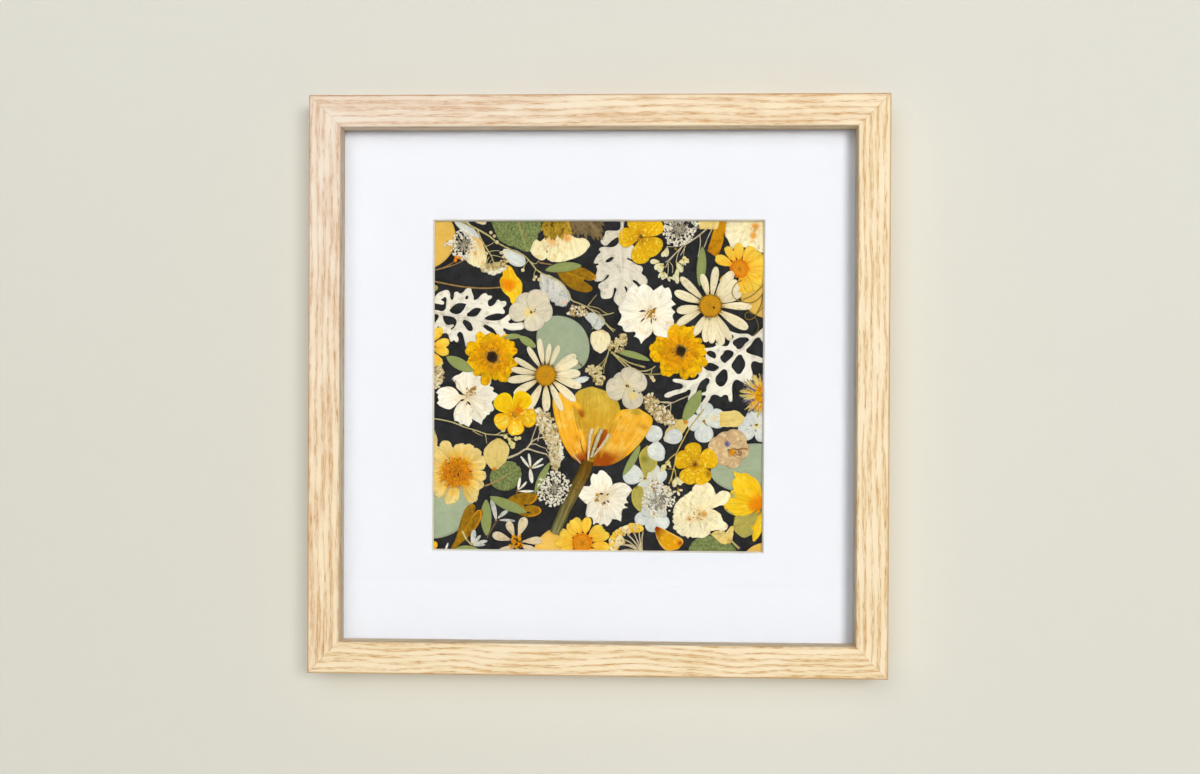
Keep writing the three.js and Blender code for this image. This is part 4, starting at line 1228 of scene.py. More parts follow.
class FLOWERFRAME_OT_add_buttercups(bpy.types.Operator):
    """Adds the three buttercups"""

    bl_idname = "flower_frame.add_buttercups"
    bl_label = "Buttercups"

    def execute(self, context):
        shape = dict(belly=0.68, blunt=0.42, wave=0.1, columns=12)
        for seed, (name, node, layer, x, z, petals, stains) in records(BUTTERCUPS, 51):
            pressing = Pressing(layer, seed, stains=stains)
            rays(pressing, x, z, petals, 0.8, foot=0.25, **shape)
            pressing.heart(x, z, 1.2, 0.08, columns=12, rings=4)
            specks(pressing, x, z, 12, 0.2, 1.6, 0.4, 2)
            pressing.make(name, ("buttercup petal", "dark fringe", "stamen"), "gold_petal", node)

        x, z = -48, -16.8
        pressing = Pressing(3, 57, stains="-54,-21,6,0.5 -47,-25,5,0.6 -44.5,-9,4,0.6")
        rays(pressing, x, z, "132,14.6,11.6 62,14.6,11.4", 0.8, foot=0.28, **shape)
        rays(pressing, x, z, "208,12.4,10 -84,11.8,9.8 -12,13,11", 0.8, foot=0.28, coat=1, **shape)
        for turn in (22, 30, 38, 46, 58, 70):
            angle = math.radians(turn)
            reach = pressing.dice.uniform(5.5, 8)
            pressing.stem([(x, z), around(x, z, reach, angle)], 0.6, 0.7, coat=2)
        specks(pressing, x, z, 18, 0.2, 1.8, 0.6, 3)
        paints = ("lemon petal", "amber petal", "orange fringe", "stamen")
        pressing.make("buttercup on the left", paints, "yellow_petal", "buttercup_left")
        return {"FINISHED"}


# ---- Violas and hydrangea florets ----

# name, node, layer, middle, petals, stains, dark slits (x, z, length, direction, width), look
VIOLAS = [
    (
        "viola on the left", "viola_left", 2, -38.6, 42.3,
        "120,12,11.5 60,13.8,14 2,12.4,13 180,12.8,11.5 -75,11,12.5", "-40.5,42,3.5,1",
        "-37.2,42.2,1.4,20,1.2 -36.4,43.4,0.9,60,0.8", "beige",
    ),
    (
        "viola in the middle", "viola_middle", 2, 17, 0,
        "140,9.5,9.5 195,12.4,13.5 70,11,13 22,11.6,12 -68,13.8,12.5", "20,-5.5,4.5,0.8",
        "15.8,0.4,2.6,-20,1.5 20,-2.4,1.8,-30,0.8 23.2,-3.8,1,0,0.8", "beige",
    ),
    (
        "hydrangea floret on the right", "hydrangea_right", 0, 61, -20,
        "88,11,10.4 -90,12.2,11 188,9.8,10 12,12.4,11.6", "67,-18,4,0.7",
        "60.6,-20.4,3.8,-45,0.5 57.6,-16.6,1.6,35,0.7", "pale",
    ),
    (
        "low hydrangea floret", "hydrangea_low", 0, 27, -53, "163,12.6,11.8 32,10.8,11.4 -86,12.2,11.4",
        "30.5,-50,3.5,0.7", "24,-53.6,2.2,40,0.4", "pale",
    ),
    (
        "hydrangea floret at the right edge", None, 0.5, 91, -22,
        "100,9,10 30,10,10 -50,10.5,11 212,11.4,10.6 160,8,9", "90.5,-23,2.5,0.9",
        "88.4,-22.6,1.5,150,0.5 90.5,-24.5,1.4,-80,0.6", "pale",
    ),
    (
        "hydrangea floret low on the right", None, 0.4, 33, -73.5,
        "200,12,8 258,10.5,8.5 310,10.5,9 90,9,10 30,7,9 150,8,9", [], [], "pale",
    ),
]
PEACH_PETALS = "165,12,12 110,11,11 58,12.8,13 2,11.8,11 -68,10.8,9.5 -122,9.6,9.5"


class FLOWERFRAME_OT_add_violas(bpy.types.Operator):
    """Adds the violas and the pale hydrangea florets"""

    bl_idname = "flower_frame.add_violas"
    bl_label = "Violas and hydrangeas"

    def execute(self, context):
        looks = {"beige": ("viola petal", 0.58, 0.44), "pale": ("bluish petal", 0.6, 0.42)}
        slots = {"beige": "beige_petal", "pale": "bluish_petal"}
        for seed, (name, node, layer, x, z, petals, stains, slits, look) in records(VIOLAS, 61):
            coat, belly, blunt = looks[look]
            pressing = Pressing(layer, seed, stains=stains)
            rays(pressing, x, z, petals, 0.6, belly=belly, blunt=blunt, foot=0.2, wave=0.07, columns=12)
            for slit_x, slit_z, length, turn, width in slits:
                pressing.blade(slit_x, slit_z, turn, length, width, belly=0.5, blunt=0.8, coat=1)
            specks(pressing, x, z, 5, 0.2, 1.0, 0.4, 2)
            pressing.make(name, (coat, "dark mark", "stamen"), slots[look], node)

        pressing = Pressing(1, 68, stains="74.4,-33,2.8,1.1")
        shape = dict(belly=0.6, blunt=0.44, foot=0.25, wave=0.08, columns=12)
        rays(pressing, 75.2, -36.5, PEACH_PETALS, 0.6, **shape)
        specks(pressing, 77, -37.6, 22, 0.1, 1.9, 0.75, 1)
        specks(pressing, 77, -38, 14, 1.4, 2.7, 0.4, 2)
        pressing.stem("78,-35.6 81,-36.2 83,-35.4 86,-35.8", 0.8, 0.7, coat=2)
        pressing.stem("79.5,-39 82,-39.2 82.4,-37.4 80.8,-37.2 81.6,-38.4", 0.7, 0.6, coat=2)
        paints = ("peach petal", "gold floret", "brown stem")
        pressing.make("peach viola", paints, "peach_petal", "viola_right")
        return {"FINISHED"}


# ---- Tulip ----

TULIP_STAINS = (
    "-9,-16,5,0.9 -14,-12,4,0.4 -12,-30,5,0.4 4,-43,9,1 -3,-40,5,0.7 -9,-43,7,1 14,-40,7,0.5 10,-9,9,0.5 "
    "14,-26,4,0.4 24,-22,5,0.35 28,-24,4,0.4 22,-15,5,0.5"
)
TULIP_PAINTS = (
    "tulip petal", "tulip stem", "tulip inner petal", "tulip base", "pale stem", "brown speck",
)
# left and right edge of each petal, and its finish
TULIP_PETALS = [
    ("-5,-44 -9,-33 -13,-20 -14,-10 -12,-3.5 -5,-0.6", "1,-44 6,-33 11,-22 13,-13.5 8.5,-5 -3,-0.4", 2),
    (
        "-10.5,-44.5 -15.5,-40 -21,-31 -25.2,-17 -25.6,-6 -19.5,-3",
        "-6,-44.5 -5.5,-36 -6,-27 -7.5,-18 -11,-10 -17,-3.4", 0,
    ),
    (
        "-3,-44.5 -1,-37 3,-29 8,-21 12,-14.5 19,-12.9",
        "-2.5,-46 8,-45.2 19,-38.5 27.5,-28.5 31.6,-19 24,-13", 0,
    ),
]
TULIP_FOLDS = [
    ("11.6,-20 12.6,-15.5 17,-13.4 22.5,-13.2", "13,-19.6 15.4,-17 20,-16 27.6,-17"),
    ("-3.8,-42 -2.2,-36 -0.6,-30 1.6,-24.6", "-2,-42 2.4,-35 6,-29 5.4,-25"),
]
# line, width at both ends and finish of the stamens, streaks and slits
TULIP_LINES = [
    ("-5.5,-43 -5,-36 -4.4,-29 -3,-24.5", 1.0, 2.4, 4),
    ("-3.6,-41 -1.8,-35 0.4,-29 2.4,-24.8", 1.6, 2.9, 4),
    ("-2.4,-40 1.2,-36 4.4,-31.4 6.6,-27.6", 1.2, 1.9, 4),
    ("-4.2,-40 -2.8,-34 -1.2,-29 1.4,-24.8", 0.55, 0.25, 5),
    ("-2.6,-40 0.2,-34 2.2,-29 3.8,-25.4", 0.55, 0.25, 5), ("-8,-38.5 -9.4,-34 -10,-30.5", 0.55, 0.25, 5),
    ("-6,-43 -6.6,-38 -6.2,-34.5", 0.55, 0.25, 5), ("-9.6,-44.6 -12.4,-41.4 -14.6,-39", 0.7, 0.3, 4),
    ("-8,-45.5 -10,-50.5 -12,-54", 0.8, 0.3, 4),
]


class FLOWERFRAME_OT_add_tulip(bpy.types.Operator):
    """Adds the pressed tulip with its stem"""

    bl_idname = "flower_frame.add_tulip"
    bl_label = "Tulip"

    def execute(self, context):
        pressing = Pressing(1, 71, stains=TULIP_STAINS)
        pressing.stem("-5.6,-43 -8.5,-51 -13.5,-61 -18.5,-71 -24.5,-85", 7.6, 6.0, coat=1, rows=24)
        for left, right, coat in TULIP_PETALS:
            pressing.loft(left, right, wave=0.12, columns=20, rows=26, coat=coat)
        folded, base = TULIP_FOLDS
        pressing.loft(*folded, coat=2, columns=6, rows=10, shade=0.1)
        pressing.loft(*base, coat=3, columns=6, rows=12)
        for line, width, end_width, coat in TULIP_LINES:
            pressing.stem(line, width, end_width, coat=coat)
        pressing.make("tulip", TULIP_PAINTS, "orange_petal", "tulip")
        return {"FINISHED"}


# ---- Ruffled flowers ----

CARNATION_LOBES = [
    "59,-74 62,-66 66,-63 67.9,-62 70.7,-60.1 74.7,-60.2 76.4,-62 76,-65.3 74,-67.8 70.3,-68.3 67.3,-69.5 "
    "65.2,-70.4",
    "59,-73 66,-68 67.7,-62 67.3,-60.3 66,-57.3 64.3,-55.4 60.7,-55.2 57.3,-55.8 54.7,-58 54.2,-60.5 "
    "55,-66",
    "59,-73 56,-64 54.3,-60.3 51.7,-61.6 48.7,-63.7 45.3,-67.3 43.7,-70.7 44,-73.3 50,-75",
    "59,-73 50,-70 44.4,-71.4 44,-73.3 43.2,-75 43.8,-76 43.1,-77.3 44.3,-79.3 43.4,-81.3 45.2,-82.6 "
    "46.7,-84.7 49.3,-85.7 54,-80",
    "59,-74 50,-80 48.6,-85.4 51,-86.1 52.3,-87.1 53.2,-86.1 55,-86.9 56.7,-86.6 60.3,-87 63.7,-85.3 "
    "65.3,-82.7 64,-77",
    "59,-74 60,-82 65.3,-82.9 68.6,-82.2 72,-82.8 74.5,-81.3 74.8,-79.3 72,-76.7 70.7,-73.3 68,-71.3 "
    "65.3,-70.3",
    "59,-74 53,-68 55,-63 59,-60.4 62.6,-60.8 65,-64 65.4,-69",
    "59,-74 55,-69 50.6,-68 47.8,-71 48.4,-75.6 50.6,-78.4 54.6,-79",
    "59,-74 55,-76 52.6,-79.6 54.4,-82.6 58.6,-83.4 62,-81 63.2,-76.6",
    "59,-74 62,-79 66.4,-80 69.4,-77.4 68.6,-74 64.4,-71",
]
TOP_CARNATION_LOBES = [
    "88,90 80,97 73.4,97 73,93.4 72.6,89 76,88",
    "90,92 78,92 73,91 72.5,87 74.8,82.5 76.6,78.7 80.3,81.6 84,84",
    "90,92 82,86 80.2,81.6 83.9,79.6 88,78.2 91.4,77.8 92,84", "90,92 89,84 91,78 95,76.4 98,76 98,92",
    "90,92 84,99 98,99 98,91",
]
CREAM_FLOWER_PETALS = [
    "-24,96 -33.4,82.9 -35.7,84 -37.2,83.2 -38.1,81.1 -39.4,77.6* -38.9,76.7 -37.2,74.6 -34.2,72.6 "
    "-31.6,72.3 -29.9,73.6* -26,84",
    "-24,96 -31.6,83 -31,77 -29.8,73.4 -28.4,72 -25.4,71.3 -20.7,71.6 -18.6,78 -20,88",
    "-20,96 -24,84 -22.4,76 -21,71.6 -17.2,72.3 -12.5,73.8 -9,75.7 -6,79 -4.9,81 -6.7,83.8 -8.9,84.9 "
    "-12.5,84.9 -15.4,86.4 -18.4,88.2",
]
CALYX_TIPS = (
    "-33,89 -31.4,86.6 -30.6,83.8 -28.8,86.4 -27.2,83.6 -25.6,83.4 -23.8,86.6 -22.2,85 -20.7,83.8 "
    "-19.6,88.6 -17.6,86.6 -15.2,86.2 -16.6,91 -24.6,88"
)
YELLOW_FLOWER_PETALS = [
    (
        1,
        "94,-70 88,-73 84,-74 78.7,-74.7* 78.3,-78 78,-81.3 80.7,-84.7 84.7,-86.6 87.3,-85.4 89.1,-84.3 "
        "90,-79",
    ),
    (0, "97,-68 91.3,-71.3 89,-76 88.8,-84.7 89.2,-88.6* 90.4,-88.5 91.4,-87.4 92,-86.7 95,-81.3 97,-76"),
    (
        0,
        "97,-66 90,-58 83,-58 78,-59.4 76.2,-60.5 76.4,-62 76,-64 74.4,-66.4 72.5,-68.4* 73.3,-70.7 "
        "76.7,-72.7 80.7,-74.7 84,-74.8 87.3,-73.3 90.7,-70.9",
    ),
    (
        0,
        "97,-66 88,-64 81,-61 78.4,-59 77.4,-57 76.9,-54.8 77.6,-53.6 78.9,-52.4 78.4,-50.7 78.2,-48.3* "
        "80.7,-49.6 82.6,-49.8 84,-49.3 87.3,-50.7 90.7,-53 93.3,-56.7 94.5,-61.3 97,-62.4",
    ),
    (0, "97,-66 90,-60 86,-55 83.4,-51 82,-50 86,-53 92,-58"),
    (1, "84,-60 81.4,-60 77.8,-60.6 76.8,-63.2 78,-64 80.4,-63.2"),
    (1, "88,-73.6 84,-74 80,-73.4 76,-71.4 73.6,-70 74.2,-71.4 78,-73.6 84,-74.9"),
]


class FLOWERFRAME_OT_add_ruffled_flowers(bpy.types.Operator):
    """Adds the carnations, the cream flower at the top and the bright yellow flower"""

    bl_idname = "flower_frame.add_ruffled_flowers"
    bl_label = "Ruffled flowers"

    def execute(self, context):
        middle = (59, -73)
        pressing = Pressing(0, 81, stains="61.5,-73.5,3,0.9 52.5,-75.6,3.4,0.6 57,-76,2.2,0.6 62,-66,5,0.3")
        for outline in CARNATION_LOBES:
            pressing.cutout(outline, middle, span=140, tooth=0.22, wave=0.16)
        specks(pressing, 57, -75, 14, 0.0, 5.0, 0.5, 1)
        paints = ("carnation petal", "stamen")
        pressing.make("carnation at the bottom", paints, "cream_petal", "carnation_bottom")

        pressing = Pressing(0, 82, stains="89.6,91.5,3.4,1.0 88.6,86.5,3.6,0.9 87.6,82.6,2,0.7")
        for outline in TOP_CARNATION_LOBES:
            pressing.cutout(outline, (90, 92), span=140, tooth=0.25, wave=0.16)
        pressing.make("carnation at the top", ("carnation petal",), "cream_petal", "carnation_top")

        self.add_cream_flower()
        self.add_yellow_flower()
        return {"FINISHED"}

    def add_cream_flower(self):
        """The cream flower that hangs from the top edge by its calyx."""
        stains = "-20,87,6,0.7 -17,84,3,0.5 -28,84,5,0.6 -25,81,4,0.4 -31.5,78,3,0.4"
        pressing = Pressing(1, 83, stains=stains)
        foot = (-22, 102)
        for outline in CREAM_FLOWER_PETALS:
            pressing.cutout(outline, foot, span=70, tooth=0.08, wave=0.12)
        pressing.blade(-29.7, 76.2, 80, 3.2, 1.0, belly=0.5, blunt=0.8, coat=2)
        fan_of_blades(pressing, (-24.5, 101), CALYX_TIPS, 4.2, 1)
        paints = ("cream petal", "calyx", "dark mark")
        pressing.make("cream flower at the top", paints, "cream_petal", "cream_flower_top")

    def add_yellow_flower(self):
        """The large yellow flower at the right edge."""
        foot = (97, -68)
        pressing = Pressing(1, 84, stains="93,-66,8,0.8 88,-69,6,0.4 94,-72,5,0.4")
        for coat, outline in YELLOW_FLOWER_PETALS:
            pressing.cutout(outline, foot, span=80, tooth=0.06, wave=0.16, coat=coat)
        specks(pressing, 95, -66, 26, 0.2, 3.4, 0.45, 2)
        paints = ("bright petal", "olive petal", "orange fringe")
        pressing.make("bright yellow flower", paints, "yellow_petal", "yellow_flower_right")


# ---- Leaves ----

# name, node, foot, direction, length, width, finish, slot, size of its teeth
BROAD_LEAVES = [
    ("sage leaf in the middle", "sage_leaf_middle", -9, 11, 130, 35, 29, "sage leaf", "sage_leaf", 0.0),
    ("sage leaf on the left", "sage_leaf_left", -105, -85, 45, 42, 33, "sage leaf", "sage_leaf", 0.0),
    ("sage leaf on the right", "sage_leaf_right", 65, -50, 8, 47, 28, "sage leaf", "sage_leaf", 0.0),
    (
        "ochre leaf in the corner", "ochre_leaf_corner", -101, 67, 85, 37, 34, "ochre leaf", "ochre_leaf",
        0.0,
    ),
    (
        "serrated leaf at the top", "serrated_leaf_top", -50, 108, -80, 31, 29, "dark leaf", "green_leaf",
        0.4,
    ),
    (
        "small serrated leaf", "serrated_leaf_small", -61.5, -56.5, 28, 19, 17, "dark leaf", "green_leaf",
        0.35,
    ),
    ("dark leaf at the bottom", None, 81, -100, 165, 29, 21, "dark leaf", "green_leaf", 0.4),
    ("ochre leaf at the bottom", None, -37, -100, 8, 31, 32, "ochre leaf", "ochre_leaf", 0.0),
    ("ochre leaf at the right edge", None, 100, 40, 120, 32, 22, "ochre leaf", "ochre_leaf", 0.0),
    ("ochre scrap in the lower corner", None, 84, -99, 15, 22, 13, "ochre leaf", "ochre_leaf", 0.0),
]
SERRATED_OUTLINE = (
    "-62.2,98 -61.6,94 -60.4,90.6 -59,86.8 -57,83.6 -54.8,82.2 -53,81.2 -50.7,80.4 -48.4,79.7 -46,78.6 "
    "-43.4,77.8 -41,77.2 -39,77.5 -38.2,79.9 -37,83.2 -35.2,85 -34.7,87.3 -33.6,88.6 -33.2,91.6 -33.4,98"
)
# line and width at both ends
LEAF_STALKS = {
    "sage leaf in the middle": ("-12.5,16 -10.6,13 -9,11.4", 0.5, 1.3),
    "small serrated leaf": ("-65,-58 -60.5,-56.2 -56,-54 -51,-51", 1.1, 0.4),
    "serrated leaf at the top": ("-47,96 -45,91 -42,86 -40.4,81", 0.7, 0.3),
    "narrow leaf over the autumn leaf": ("-34,70.8 -31,70.2 -27,69.6", 1.0, 0.5),
}
# name, layer, foot, direction, length, width, bend
NARROW_LEAVES = [
    ("narrow leaf by the left chrysanthemum", 1.5, -87.5, 16.5, -30, 17.5, 6.6, 4),
    ("folded narrow leaf", 1.5, -54.5, 27.4, 14, 10.5, 3.2, -18),
    ("tip of the folded narrow leaf", 1.7, -45.6, 28.4, -34, 11.6, 4.6, 4),
    ("narrow leaf over the autumn leaf", 2, -30.5, 66.4, 12, 21, 5.6, -10),
    ("narrow leaf by the right daisy", 2, 58, 57.4, 83, 22.5, 5.4, 6),
    ("narrow leaf in the middle", 0.5, 10, 20, -8, 20.5, 3.8, -14),
    ("narrow leaf over the hydrangea", 2, 49, -19.6, 56, 20, 7.2, 8),
    ("narrow leaf in the lower left", 0.5, -63.8, -86.6, 94, 20.8, 6.4, -6),
    ("narrow leaf over the small autumn leaf", 2.4, -62, -64, -27, 23, 6, 8),
    ("long narrow leaf", 3, -36, -62, 70, 20, 4, -12),
    ("narrow leaf by the tulip", 0.3, 14.6, -51.5, 56, 20, 4.2, 10),
    ("green leaf at the bottom edge", 0.6, -86, -98, 10, 20, 9, -14),
]
UMBER_TIPS = (
    "-18.4,92 -16.4,88.6 -14.4,86.4 -12,84.8 -9.6,86.6 -7,83.8 -5,86 -2.3,83.4 0.2,83.4 2.6,83.6 2.8,88 "
    "0.6,90.4 3.4,91.8 2.6,95"
)
# name, node, layer, foot, tip, outline, yellow edges
AUTUMN_LEAVES = [
    (
        "autumn leaf at the top", "ochre_lobed_top", 0, (-28, 68.6), (-2, 59),
        "-26,68.4 -22,68.2 -14.7,69 -10.2,68.2 -4.7,65.8 -1.2,62 -3,60.8 -5.6,60.5 -8.4,60.9 -6,58.7 "
        "-4.6,57.6 -3.4,55.6 -5.3,54 -9,54 -13.8,55.2 -19.3,58.8 -22.4,62.5 -24,65.6",
        ["-3.4,61.2 -1.9,62.2 -4,64.6"],
    ),
    (
        "autumn leaf on the left", "ochre_lobed_left", 1, (-83, -96), (-69, -70),
        "-83.4,-96 -81.6,-88 -80,-82 -77.6,-74 -75,-69.6 -72.9,-68.4 -70.6,-69.4 -71.1,-73 -72,-75.9 "
        "-70.4,-74 -68.8,-72 -66.4,-72 -67.3,-77.5 -70.4,-83 -75.2,-88.2 -80.6,-92.8",
        ["-72,-75.6 -69,-72.2 -67,-72.6", "-67,-72.8 -67.8,-77.6 -71,-83.4"],
    ),
    (
        "small autumn leaf", None, 1, (-52.6, -69), (-34, -69.5),
        "-53,-68 -51.5,-65.3 -46.1,-62.4 -38.8,-61.9 -34.2,-63.4 -36.1,-66.8 -39,-68.6 -42.6,-69 "
        "-37.9,-68.8 -33.4,-70.2 -32.2,-72.1 -34.3,-74.5 -40.6,-75.6 -46.1,-73.6 -50.4,-70.6",
        ["-35,-63.2 -36,-66 -39,-68.2", "-34,-70 -32.8,-72 -34.6,-74.2 -40,-75.2"],
    ),
]


class FLOWERFRAME_OT_add_leaves(bpy.types.Operator):
    """Adds the round, narrow, serrated and autumn leaves"""

    bl_idname = "flower_frame.add_leaves"
    bl_label = "Leaves"

    def execute(self, context):
        broad = dict(belly=0.5, blunt=0.5, foot=0.05, columns=12, rows=20, wave=0.08)
        for seed, (name, node, x, z, turn, length, width, coat, slot, tooth) in records(BROAD_LEAVES, 91):
            pressing = Pressing(0, seed)
            if name == "serrated leaf at the top":
                band = dict(span=32, fan=False, tooth=0.35, wave=0.1)
                pressing.cutout(SERRATED_OUTLINE, (-50, 106), (-41, 77), **band)
            else:
                pressing.blade(x, z, turn, length, width, tooth=tooth, **broad)
            if name in LEAF_STALKS:
                pressing.stem(*LEAF_STALKS[name], coat=1)
            pressing.make(name, (coat, "brown stem"), slot, node)

        narrow = dict(belly=0.5, blunt=0.62, foot=0.05, columns=8, rows=16, wave=0.1)
        for seed, (name, layer, x, z, turn, length, width, bend) in records(NARROW_LEAVES, 111):
            pressing = Pressing(layer, seed)
            pressing.blade(x, z, turn, length, width, bend=bend, **narrow)
            if name in LEAF_STALKS:
                pressing.stem(*LEAF_STALKS[name], coat=1)
            pressing.make(name, ("narrow leaf", "brown stem"), "green_leaf")
        umber = Pressing(0.2, 130)
        fan_of_blades(umber, (-10, 106), UMBER_TIPS, 3.4)
        umber.make("umber leaf at the top", ("umber petal",), "tan_petal")
        self.add_autumn_leaves()
        return {"FINISHED"}

    def add_autumn_leaves(self):
        """The lobed ochre leaves with their yellow edges."""
        paints = ("autumn leaf", "autumn edge", "dark mark")
        for seed, (name, node, layer, foot, tip, outline, edges) in records(AUTUMN_LEAVES, 131):
            pressing = Pressing(layer, seed)
            pressing.cutout(outline, foot, tip, span=70, wave=0.12)
            for edge in edges:
                pressing.stem(edge, 0.8, 0.4, coat=1)
            if node is None:
                pressing.blade(-41.8, -72.8, -8, 4.2, 0.9, belly=0.5, blunt=0.8, coat=2)
            pressing.make(name, paints, "ochre_leaf", node)


# ---- Felted leaves ----

# name, node, layer, foot, tip, width, outline, holes, midrib
FELTED_LEAVES = [
    (
        "felted leaf on the left", "dusty_miller_left", 0, (-105, 44), (-45, 35), 44,
        "-98,50 -95,50.8 -92.3,53.3 -89.7,54.5 -87,54.9 -85.7,53 -85.3,50 -84.4,49.2 -83.4,51.3 -82.9,53.7 "
        "-81.3,53.9 -80,53 -77.7,54 -76.3,55.7 -74,56.3 -73,54 -72,51.3 -71.7,49.4 -69.7,49.9 -67.3,52.3 "
        "-65,53.2 -63.7,52 -61.3,51.3 -62,50 -63.4,49 -63.1,45.9 -61.7,45.7 -59.7,47 -57.7,49.5 -56.3,48.6 "
        "-53.3,48.3 -53.3,46.3 -55,44.7 -54,43 -54,41.7 -57.7,41.6 -61,41 -64.3,39.7 -65.4,38.6 -63.7,37.7 "
        "-59.7,37.4 -56.3,37.9 -53.7,39.6 -51,41.2 -50,40 -50.4,38.4 -51.8,36.5 -48,36 -42.3,35.6 "
        "-42.3,33.6 -47.7,31.9 -51,32 -54.8,32.6 -53.3,30 -53.8,27.8 -58,26 -62,22 -68,20 -73,21 "
        "-75.9,21.9 -77,25.3 -77.7,28 -78.8,30.4 -80,30.9 -81.5,29 -80.7,27.3 -81,25.2 -82,24.9 -83.1,26 "
        "-85,25.2 -86,27.3 -87,29.7 -88.3,30.2 -89.8,30 -91,32.6 -92.4,34 -94,31 -98,29",
        [
            "-88.4,51 -87.9,47 -88.4,44 -90,42.8 -93,43.4 -97.6,43.6 -97.6,46.9 -92.5,47 -89.4,46.8 "
            "-89.2,48.2 -90.8,49.4 -89.7,50.2",
            "-86,43.1* -84.7,41.8 -80.7,41.2 -78,43.3 -76.1,47* -80.3,47.5 -83.6,46",
            "-75.8,40.4 -74,39.7 -70.3,40.1 -68.3,42.4 -67.3,44.1* -70.3,44.8 -74,42.8",
            "-89.8,40.2* -86,39.9 -82.7,38.7 -81.8,37 -82.7,33.9 -85,31.8* -85,32.8 -83.3,34.7 -87,34.8 "
            "-89,36.7",
            "-77.9,37.5 -75,37 -72.9,34.7 -72.7,31.6 -74.7,31.5 -76.4,33.3",
            "-76.8,50.2 -75.6,51.8 -75.3,50 -76.2,49.6",
            "-66.2,34.6 -62.5,34 -60,32.2 -58.6,30 -57.2,29.3 -58.2,28.8 -61.6,30.6 -64.6,32.2",
            "-97.6,41.4 -95,41.3 -92.2,40.3 -92.6,38.5 -94,36.5 -95.5,34.8 -97.6,34",
        ],
        "-97,42.6 -86,40.6 -74,38.6 -60,35.8 -46,34.6",
    ),
    (
        "felted leaf on the right", "dusty_miller_right", 1, (102, 38), (40, -6), 50,
        "98,36.4 94.6,33.9 90.7,30.2 88.6,28.8 85.7,30.1 81,30.2 76.4,31.4 72.9,33 70,35.6 68.4,34.6 "
        "71.6,32.4 74.8,30.4 77.6,28.6 75.7,26.2 74.4,23.4 72.9,23 68.9,24.2 67.5,24.9 67.5,23.4 65.7,22.4 "
        "60.4,21.7 58,20.6 58,19.6 61,19.8 61.6,17 60,14.6 56,13.4 55.4,10 55,7.6 57.8,6.8 57.4,4.9 55,3.7 "
        "51.4,3.4 45.7,4.2 42.9,3.7 43.4,2.7 47.9,1.3 48.9,-0.2 43.6,-2.4 39.3,-4.1 38.1,-5.6 39.3,-6.5 "
        "44.3,-5 50,-3.2 52.9,-2 53.2,-3.4 51.9,-6.6 52.1,-8.4 53.8,-8.4 56.1,-4.1 57.5,0 59.3,2.9 "
        "62.1,4.8 63.6,4.4 63.9,2.3 62.5,0.1 62,-2.8 59.6,-4 59.4,-4.9 61.8,-5.3 60.7,-7.7 59.2,-11.3 "
        "60.2,-12.9 61.4,-11.3 63.9,-7.8 65.7,-5 68.6,-5 70.7,-6 72.1,-4.9 74.3,-5.2 75.4,-8.5 76.5,-8.8 "
        "77.1,-6.3 76.8,-2 77.5,2.3 79.3,3.9 81.1,3.4 83.6,1.9 87,0 90,-2 98,-2",
        [
            "77.1,25.1 79.3,27.3 82.9,28.2 86.4,27 84.6,24.8 80.4,21.3 78.9,22.6",
            "91.9,28.1 93.6,26.2 95.3,24 97.6,22 97.6,16 95.1,16 91.4,17.4 86.4,18.9 84.8,20.2 87.1,23.4",
            "72.9,20.6 76,20.6 77.7,19.4 77.5,18 75,14.5 72.9,13.4 70.7,14.9 70.1,17 71.4,18.4",
            "62.1,19.3 66.4,19.8 67.3,16.2 65,16.6 62.9,18",
            "60.5,11.8 63.6,13.5 67.1,12.6 69.5,10.3 67.9,9 64.3,8.8 61.4,10",
            "81.6,18.3 83.2,16.2 84.4,13 83.2,9.6 80.7,7 77.9,9.3 76.5,11.6 77.9,14.8",
            "72.9,9.8 74.4,6.2 73.6,2.4 70.7,-0.1 68.2,1.2 67.4,4.4 69.3,7.6",
            "87.8,13.2 89.2,14.5 93,13.6 97.6,13.6 97.6,0 92,0 88.9,2 88.6,7",
            "97.6,30.6 94.6,31 94.4,29.6 97.6,26.6",
        ],
        "97,34.6 90,28.2 80,19.4 70,10.6 58,2.4",
    ),
    (
        "felted leaf at the top", "dusty_miller_top", 0, (13.6, 99), (13, 45), 32,
        "12.6,98 12.6,91.5 11.7,89.6 8.7,89.1 5.3,89.2 4,88.7 3.6,87 2.3,84.7 1.3,83.7 1.6,82 4.6,80.7 "
        "6,82 8.7,84.2 11.4,85.2 11.7,83 10.3,80.9 8.7,79.9 1.3,79.5 0.2,78.3 1.2,77 -0.3,75.3 -2.3,72 "
        "-2.6,70.6 0.2,70 -1.3,68.7 -0.7,67.3 -1.3,64.3 -2.2,60.5 0.8,60.2 2.4,60.6 4,62.2 5.9,63.9 "
        "5.8,62.7 3.6,60.7 1.5,59.4 0,57.6 1.2,54.7 1.9,50.7 5.3,50.2 7.7,51 8.7,53.7 9.6,56.5 10.4,55.7 "
        "9.7,53 8.9,49.3 10,47.7 13,45 17,44 21,48 23.2,52 23.6,55.6 21.9,58.2 19.8,60 19.8,60.8 21.9,60.2 "
        "24.2,58.2 27.2,58.2 28.2,60 27.3,62.5 24.8,64.9 25.4,66.5 25.2,68.3 22,69.6 20.3,70.1 18.5,71.8 "
        "16.5,73.5 18.8,72.8 22,75 20.6,80 17,82 14.8,84 14.3,91 14.4,98",
        ["4.1,71.2 5.4,73 8.5,73.8 7.8,72.3 5.6,71", "15.3,57.3 16.3,56.5 17.1,53.5 16.4,53.2 15.7,55"],
        "13.5,97 13.4,86 13.3,70 13,50",
    ),
]
